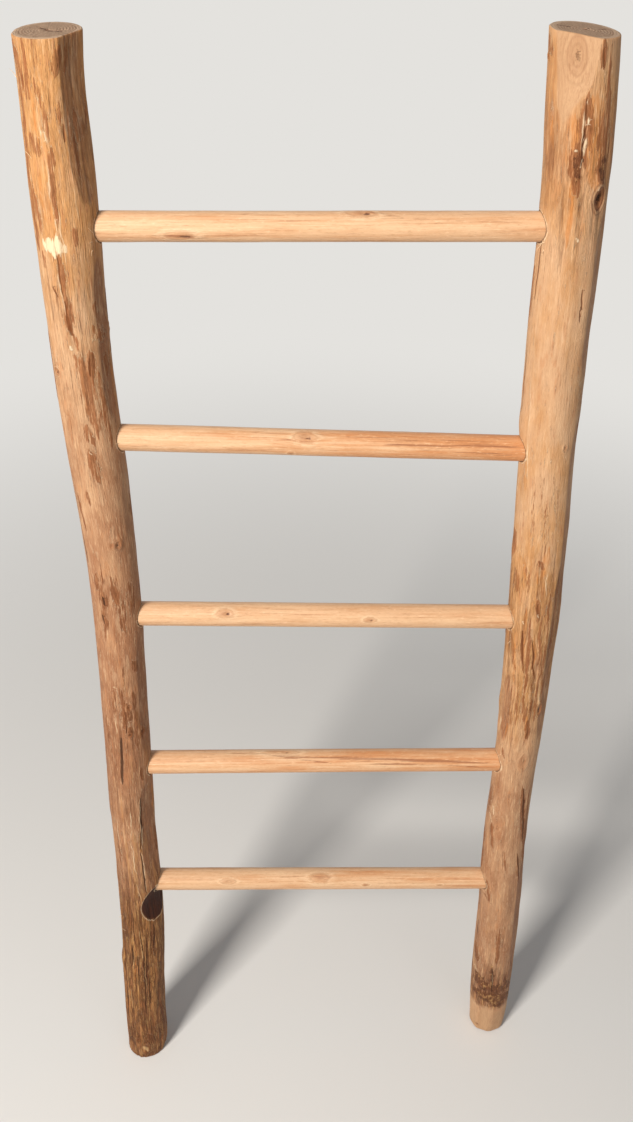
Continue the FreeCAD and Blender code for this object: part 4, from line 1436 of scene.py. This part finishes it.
# %% Knots
bent_ring = ring + hair * 0.08 + cloud * 0.1 + plate * 0.07
halo = (1 - bent_ring.step(0.8, 1.15)) * (knot * 0.7 + 0.14)
g.paint(halo, g.mix(flat, BARK_RED, KNOT_TAN))
rings = (bent_ring * 15).sine().step(-0.2, 1.0) * (1 - bent_ring.step(0.9, 1.9))
g.paint(rings * (knot * 0.9 + 0.06), g.mix(flat, KNOT_BROWN, KNOT_TAN_DARK))
heart = 1 - (bent_ring + speck * 0.2 + hair * 0.16 - knot * 0.36).step(0.04, 0.2)
g.paint(heart * (knot * 2).step(0.1, 0.9) * 0.92, SPLIT_DARK)

# %% Splits and torn fibres, and a painted highlight along the edge of the left pole's top flat
in_split, split_side, in_fibre, fibre_side = g.fields("split split_side fibre fibre_side")
split = (1 - (split_side.size() + hair * 0.25).step(0.45, 1.1)) * in_split.step(0.05, 0.35)
g.paint(split * 0.85, g.mix(brown.step(0.2, 0.8), SPLIT_RUSTY, SPLIT_DARK))
torn = (1 - (fibre_side.size() + fine * 0.4).step(0.5, 1.2)) * in_fibre.step(0.05, 0.95)
torn = torn * (plate * 0.6 + streak * 0.4 + hair * 0.5 + 0.5).step(0.0, 0.6)
scraped = (scrape + hair * 0.3 + fine * 0.12).step(0.38, 0.72)
pale = torn.larger(scraped)
tanned = rough.larger(brown * 0.6).step(0.3, 0.9)
# pale torn fibres and scrapes, and the painted highlight along the edge of the left pole's top flat
g.paint(pale * 0.85, g.mix(tanned * 0.8, TORN_PALE, FIBRE_GOLD))

# %% [markdown]
# A sawn end shows growth rings round the pith. They are the sine of the distance from the pole's
# middle line, one ring for every 2.7 mm. The saw's marks are noise that is stretched one way.

# %% Sawn ends
level = g.node("VectorMath", {"operation": "MULTIPLY"}, [place, (1, 1, 0)])
from_pith = g.node("VectorMath", {"operation": "LENGTH"}, [level], "Value") * 1000
blotch = g.grain(level, 9, 9)
growth = ((from_pith + blotch * 0.9) * (TURN / 2.7)).sine()
sawing = g.node("Mapping", {}, {"Vector": level, "Rotation": (0, 0, 0.5), "Scale": (1, 0.06, 1)})
saw = g.grain(sawing, 1.2, 9)
crack, from_rung = g.fields("crack mouth")
end = g.mix(growth.step(-0.7, 1.0) * 0.6, SAWN_GREY, SAWN_DARK)
end = g.mix(saw.step(-0.1, 1.0) * 0.5, end, SAWN_PALE)
end = g.mix((blotch * 0.8 + speck * 0.3).step(0.3, 1.0) * 0.45, end, SAWN_RED)
# a pale band round the edge of the end: a painted highlight on its rim
end = g.mix((from_pith + blotch).step(25, 28) * 0.75, end, SAWN_PALE)
end = g.mix((1 - (from_pith + speck * 0.5).step(1.2, 2.2)) * 0.8, end, KNOT_BROWN)
end = g.mix((crack + speck * 0.15).step(0.15, 0.6) * 0.9, end, SPLIT_DARK)
g.paint(sawn, end)
# the walls of the bores are painted dark brown: painted shade in the gap round each rung
g.paint(bore * 0.75, KNOT_BROWN)

# %% The mouths of the bores: a painted contact shadow where the rung goes in, and a torn pale rim round it
mouth = from_rung + hair * 0.3 + scale * 0.4
rim = (mouth - 2.0).line(0.3, 1.1) * (streak + scale + 0.3).step(0.0, 0.5)
g.paint(rim * 0.6, TORN_PALE)
# a dark line round each rung: painted contact shadow between rung and pole
g.paint((1 - mouth.step(0.4, 1.5)) * 0.8, SPLIT_DARK)

# %% Gloss and relief of the pole wood
roughness = 0.62 + bark_mask * 0.1 + split * 0.2 + speck * 0.05 + sawn * 0.25 + rough * 0.1
relief = (hair * (brown * 0.16 + 0.12) + fine * 0.07 + streak * 0.18 + plate * 0.16
          + bark_mask * 0.4 + crust * (scale * 0.5 + 0.4) - groove * 0.6 - (fissure + seam) * 0.7
          - split * 0.9 + pale * 0.4 + (edge + lifted + rim) * 0.4 - heart * 0.8
          + growth * sawn * 0.2 + saw * sawn * 0.15)
dress(poles.values(), g.surface(g.coat, roughness, relief, (0.9, 0.9 * MM), gloss=0.3))

# %% [markdown]
# ## The smooth wood of the rungs
#
# The same idea with quieter layers: a peach ground, fine lengthwise grain with short dark pores,
# orange heartwood in some rungs, dark stripes, and brown rings round the knots.


# %% Colours, noises and fields of the rungs
ROD_PALE, ROD_PEACH, ROD_ORANGE = colour(230, 188, 146), colour(214, 164, 120), colour(208, 138, 84)
ROD_BROWN, ROD_DARK, ROD_KNOT = colour(178, 120, 78), colour(142, 88, 54), colour(96, 54, 32)
ROD_LIGHT, ROD_LIP = colour(242, 208, 168), colour(246, 212, 170)
g = Graph("smooth_rung_wood")
place = g.straight_place()
cloud = g.grain(place, 14, 90)
band = g.grain(place, 3.2, 130, 4, 0.6)
hair = g.grain(place, 1.1, 60, 3, 0.6)
pore = g.grain(place, 0.6, 9, 2)
fleck = g.grain(place, 1.8, 7, 3, 0.7)
warm, stripe, knot, ring, in_heart = g.fields("warm stripe knot ring heart")

# %% Smooth wood, with warm heartwood, pores and dark stripes
g.coat = ROD_PALE
g.paint((cloud * 0.5 + band * 0.5).step(-0.7, 0.7), ROD_PEACH)
g.paint((warm + band * 0.35 + cloud * 0.25).step(0.25, 1.05) * 0.9, ROD_ORANGE)
g.paint((band * 0.8 + hair * 0.4).step(0.25, 0.7) * 0.45, ROD_BROWN)
g.paint((pore * 0.8 + hair * 0.5).step(0.5, 0.9) * 0.4, ROD_DARK)
g.paint((0 - hair * 0.7 - pore * 0.4).step(0.2, 0.7) * 0.4, ROD_LIGHT)
g.paint((fleck + hair * 0.5).step(0.15, 0.9) * 0.34, ROD_BROWN)
g.paint((0 - fleck - hair * 0.3).step(0.25, 0.9) * 0.4, ROD_LIP)
dark = (stripe + hair * 0.35 + band * 0.25 + fleck * 0.1).step(0.3, 0.75)
g.paint(dark * 0.7, ROD_DARK)

# %% Knots of the rungs: a pale lip, brown rings and a dark heart
bent_ring = ring + band * 0.4 + hair * 0.22 + fleck * 0.24 + cloud * 0.25
halo = (1 - bent_ring.step(0.1, 1.5)) * (knot * 0.6 + 0.35) * (fleck * 0.5 + 0.9)
rings = (bent_ring * 7).sine().step(-0.1, 1.0) * (1 - bent_ring.step(1.0, 2.4)) * 0.2
lip = (bent_ring - 1.6).line(0.0, 0.6) * (fleck + 0.4).step(0.0, 0.6)
g.paint(lip * 0.5, ROD_LIP)
g.paint(halo, ROD_BROWN)
g.paint(rings, ROD_DARK)
heart = (in_heart + fleck * 0.4 + band * 0.2 + pore * 0.15).step(0.36, 0.85)
g.paint(heart * 0.9, ROD_KNOT)

# %% Gloss and relief of the rungs
roughness = 0.44 + cloud * 0.05 + dark * 0.1 + halo * 0.1
relief = hair * 0.22 + pore * 0.12 + band * 0.16 + fleck * 0.25 - heart * 0.8 + lip * 0.3
dress(rungs.values(), g.surface(g.coat, roughness, relief, (0.8, 0.5 * MM)))

# %% [markdown]
# ## Splinters and nails
#
# Torn fibres are the palest wood of all, with thin darker stretches along them. The nails stay as
# the CAD part has them. Only their heads show, at the back, and they get a dull steel with a
# little rust: where it rusts, the surface is no metal and is rougher.

# %% The materials of the splinters and the nails
TORN_LIGHT, TORN_SHADE = colour(238, 206, 164), colour(176, 122, 76)
STEEL_GREY, RUST_BROWN = colour(122, 118, 112), colour(104, 62, 38)

g = Graph("torn_fibre")
place = g.object_place()
patch, thread = g.grain(place, 3, 5), g.grain(place, 0.5, 3)
shade = g.mix((patch + thread * 0.5).step(-0.2, 0.9) * 0.7, TORN_LIGHT, TORN_SHADE)
dress([splinters], g.surface(shade, 0.6 + patch * 0.06, thread, (0.5, 0.2 * MM)))

g = Graph("dull_nail_steel")
spots = g.grain(g.object_place(), 1.4, 1.4, 4, 0.6)
rust = spots.step(0.0, 0.6)
shade = g.mix(rust, STEEL_GREY, RUST_BROWN)
steel = g.surface(shade, 0.38 + rust * 0.4, spots, (0.4, 0.2 * MM), metallic=1 - rust)
dress([NODES[f"{side}_rung_nails"] for side in TRUNKS], steel)

# %% [markdown]
# ## Attach the pieces to the root body

# %% Ride on the root body and replace the CAD parts
for side, obj in poles.items():
    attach(obj, "root")
    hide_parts(f"{side}_stile")
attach(splinters, "root")
for name, obj in rungs.items():
    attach(obj, "root")
    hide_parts(name)

# %% [markdown]
# ## Floor, light and camera
#
# The floor is plain and pale. One large soft lamp stands high on the left, a weaker one fills from
# the right, and the world lights the rest evenly. The camera stands close in front, 1.73 m up, and
# looks down.


# %% Floor and light
BACKDROP = colour(228, 226, 222)


def seen_directly(g):
    """1 for the rays of the camera, of gloss and of glass, and 0 for the rays that light."""
    path = [g.node("LightPath", {}, {}, key)
            for key in ("Is Camera Ray", "Is Glossy Ray", "Is Transmission Ray")]
    return path[0].larger(path[1]).larger(path[2])


def floor_material():
    """A pale floor that passes into an even backdrop far from the ladder, where the lamps no
    longer reach. Only the camera, gloss and glass see the backdrop, so it lights nothing."""
    g = Graph("plain_floor")
    away = g.node("VectorMath", {"operation": "LENGTH"}, [g.object_place()], "Value")
    near = g.node("BsdfPrincipled", {}, {"Base Color": BACKDROP, "Roughness": 0.8})
    far = g.node("Emission", {}, {"Color": BACKDROP, "Strength": 1.0})
    both = g.node("MixShader", {}, [seen_directly(g) * away.step(0.5, 2.4), near, far])
    g.node("OutputMaterial", {}, {"Surface": both})
    return g.owner


FLOOR_REACH = 30  # metres from the middle to each side
corners = FLOOR_REACH * np.array([(-1, -1, 0), (1, -1, 0), (1, 1, 0), (-1, 1, 0)])
floor = add_mesh("floor", corners, [(0, 1, 2, 3)])
dress([floor], floor_material())


def area_light(name, place, target, size, power, tint):
    """A square lamp of a size in metres and a power in watts, at a place, that shines at a
    target."""
    data = bpy.data.lights.new(name, "AREA")
    data.size, data.energy, data.color = size, power, tint
    lamp = add_object(name, data)
    lamp.location = place
    lamp.rotation_euler = (Vector(target) - Vector(place)).to_track_quat("-Z", "Y").to_euler()


area_light("key", (-1.6, -1.9, 2.75), (0, 0, 0.8), 0.7, 119, (1.0, 0.96, 0.91))
area_light("fill", (1.6, -2.2, 1.6), (0, 0, 0.7), 1.6, 4, (0.94, 0.97, 1.0))


def studio_world():
    """Even light from all round, seen directly only as the backdrop's colour."""
    g = Graph("studio", "worlds")
    light = g.node("Background", {}, {"Color": (0.98, 0.98, 1.0, 1), "Strength": 0.24})
    shown = g.node("Background", {}, {"Color": BACKDROP, "Strength": 1.0})
    both = g.node("MixShader", {}, [seen_directly(g), light, shown])
    g.node("OutputWorld", {}, {"Surface": both})
    return g.owner


bpy.context.scene.world = studio_world()

# %% Camera
CAMERA_PLACE = (-0.0707, -0.978, 1.730)
PITCH, YAW, ROLL = (math.radians(angle) for angle in (38.752, 3.151, -1.384))
SENSOR = 36  # mm on the picture's longer side
FOCAL_SHARE = 1085.4 / 1122  # the focal length as a share of that side
ahead = Vector((math.sin(YAW) * math.cos(PITCH), math.cos(YAW) * math.cos(PITCH), -math.sin(PITCH)))
right = Vector((math.cos(YAW), -math.sin(YAW), 0))
down = ahead.cross(right)
right, down = (right * math.cos(ROLL) + down * math.sin(ROLL),
               down * math.cos(ROLL) - right * math.sin(ROLL))
camera = add_object("camera", bpy.data.cameras.new("camera"))
turned = Matrix((right, -down, -ahead)).transposed().to_4x4()
camera.matrix_world = Matrix.Translation(CAMERA_PLACE) @ turned
camera.data.sensor_width = SENSOR
camera.data.lens = SENSOR * FOCAL_SHARE
bpy.context.scene.camera = camera
bpy.context.scene.view_settings.view_transform = "Standard"
print("camera at", CAMERA_PLACE, "with a lens of", round(camera.data.lens, 1), "mm")

# %% [markdown]
# ## Finish

# %% Update the scene
bpy.context.view_layer.update()
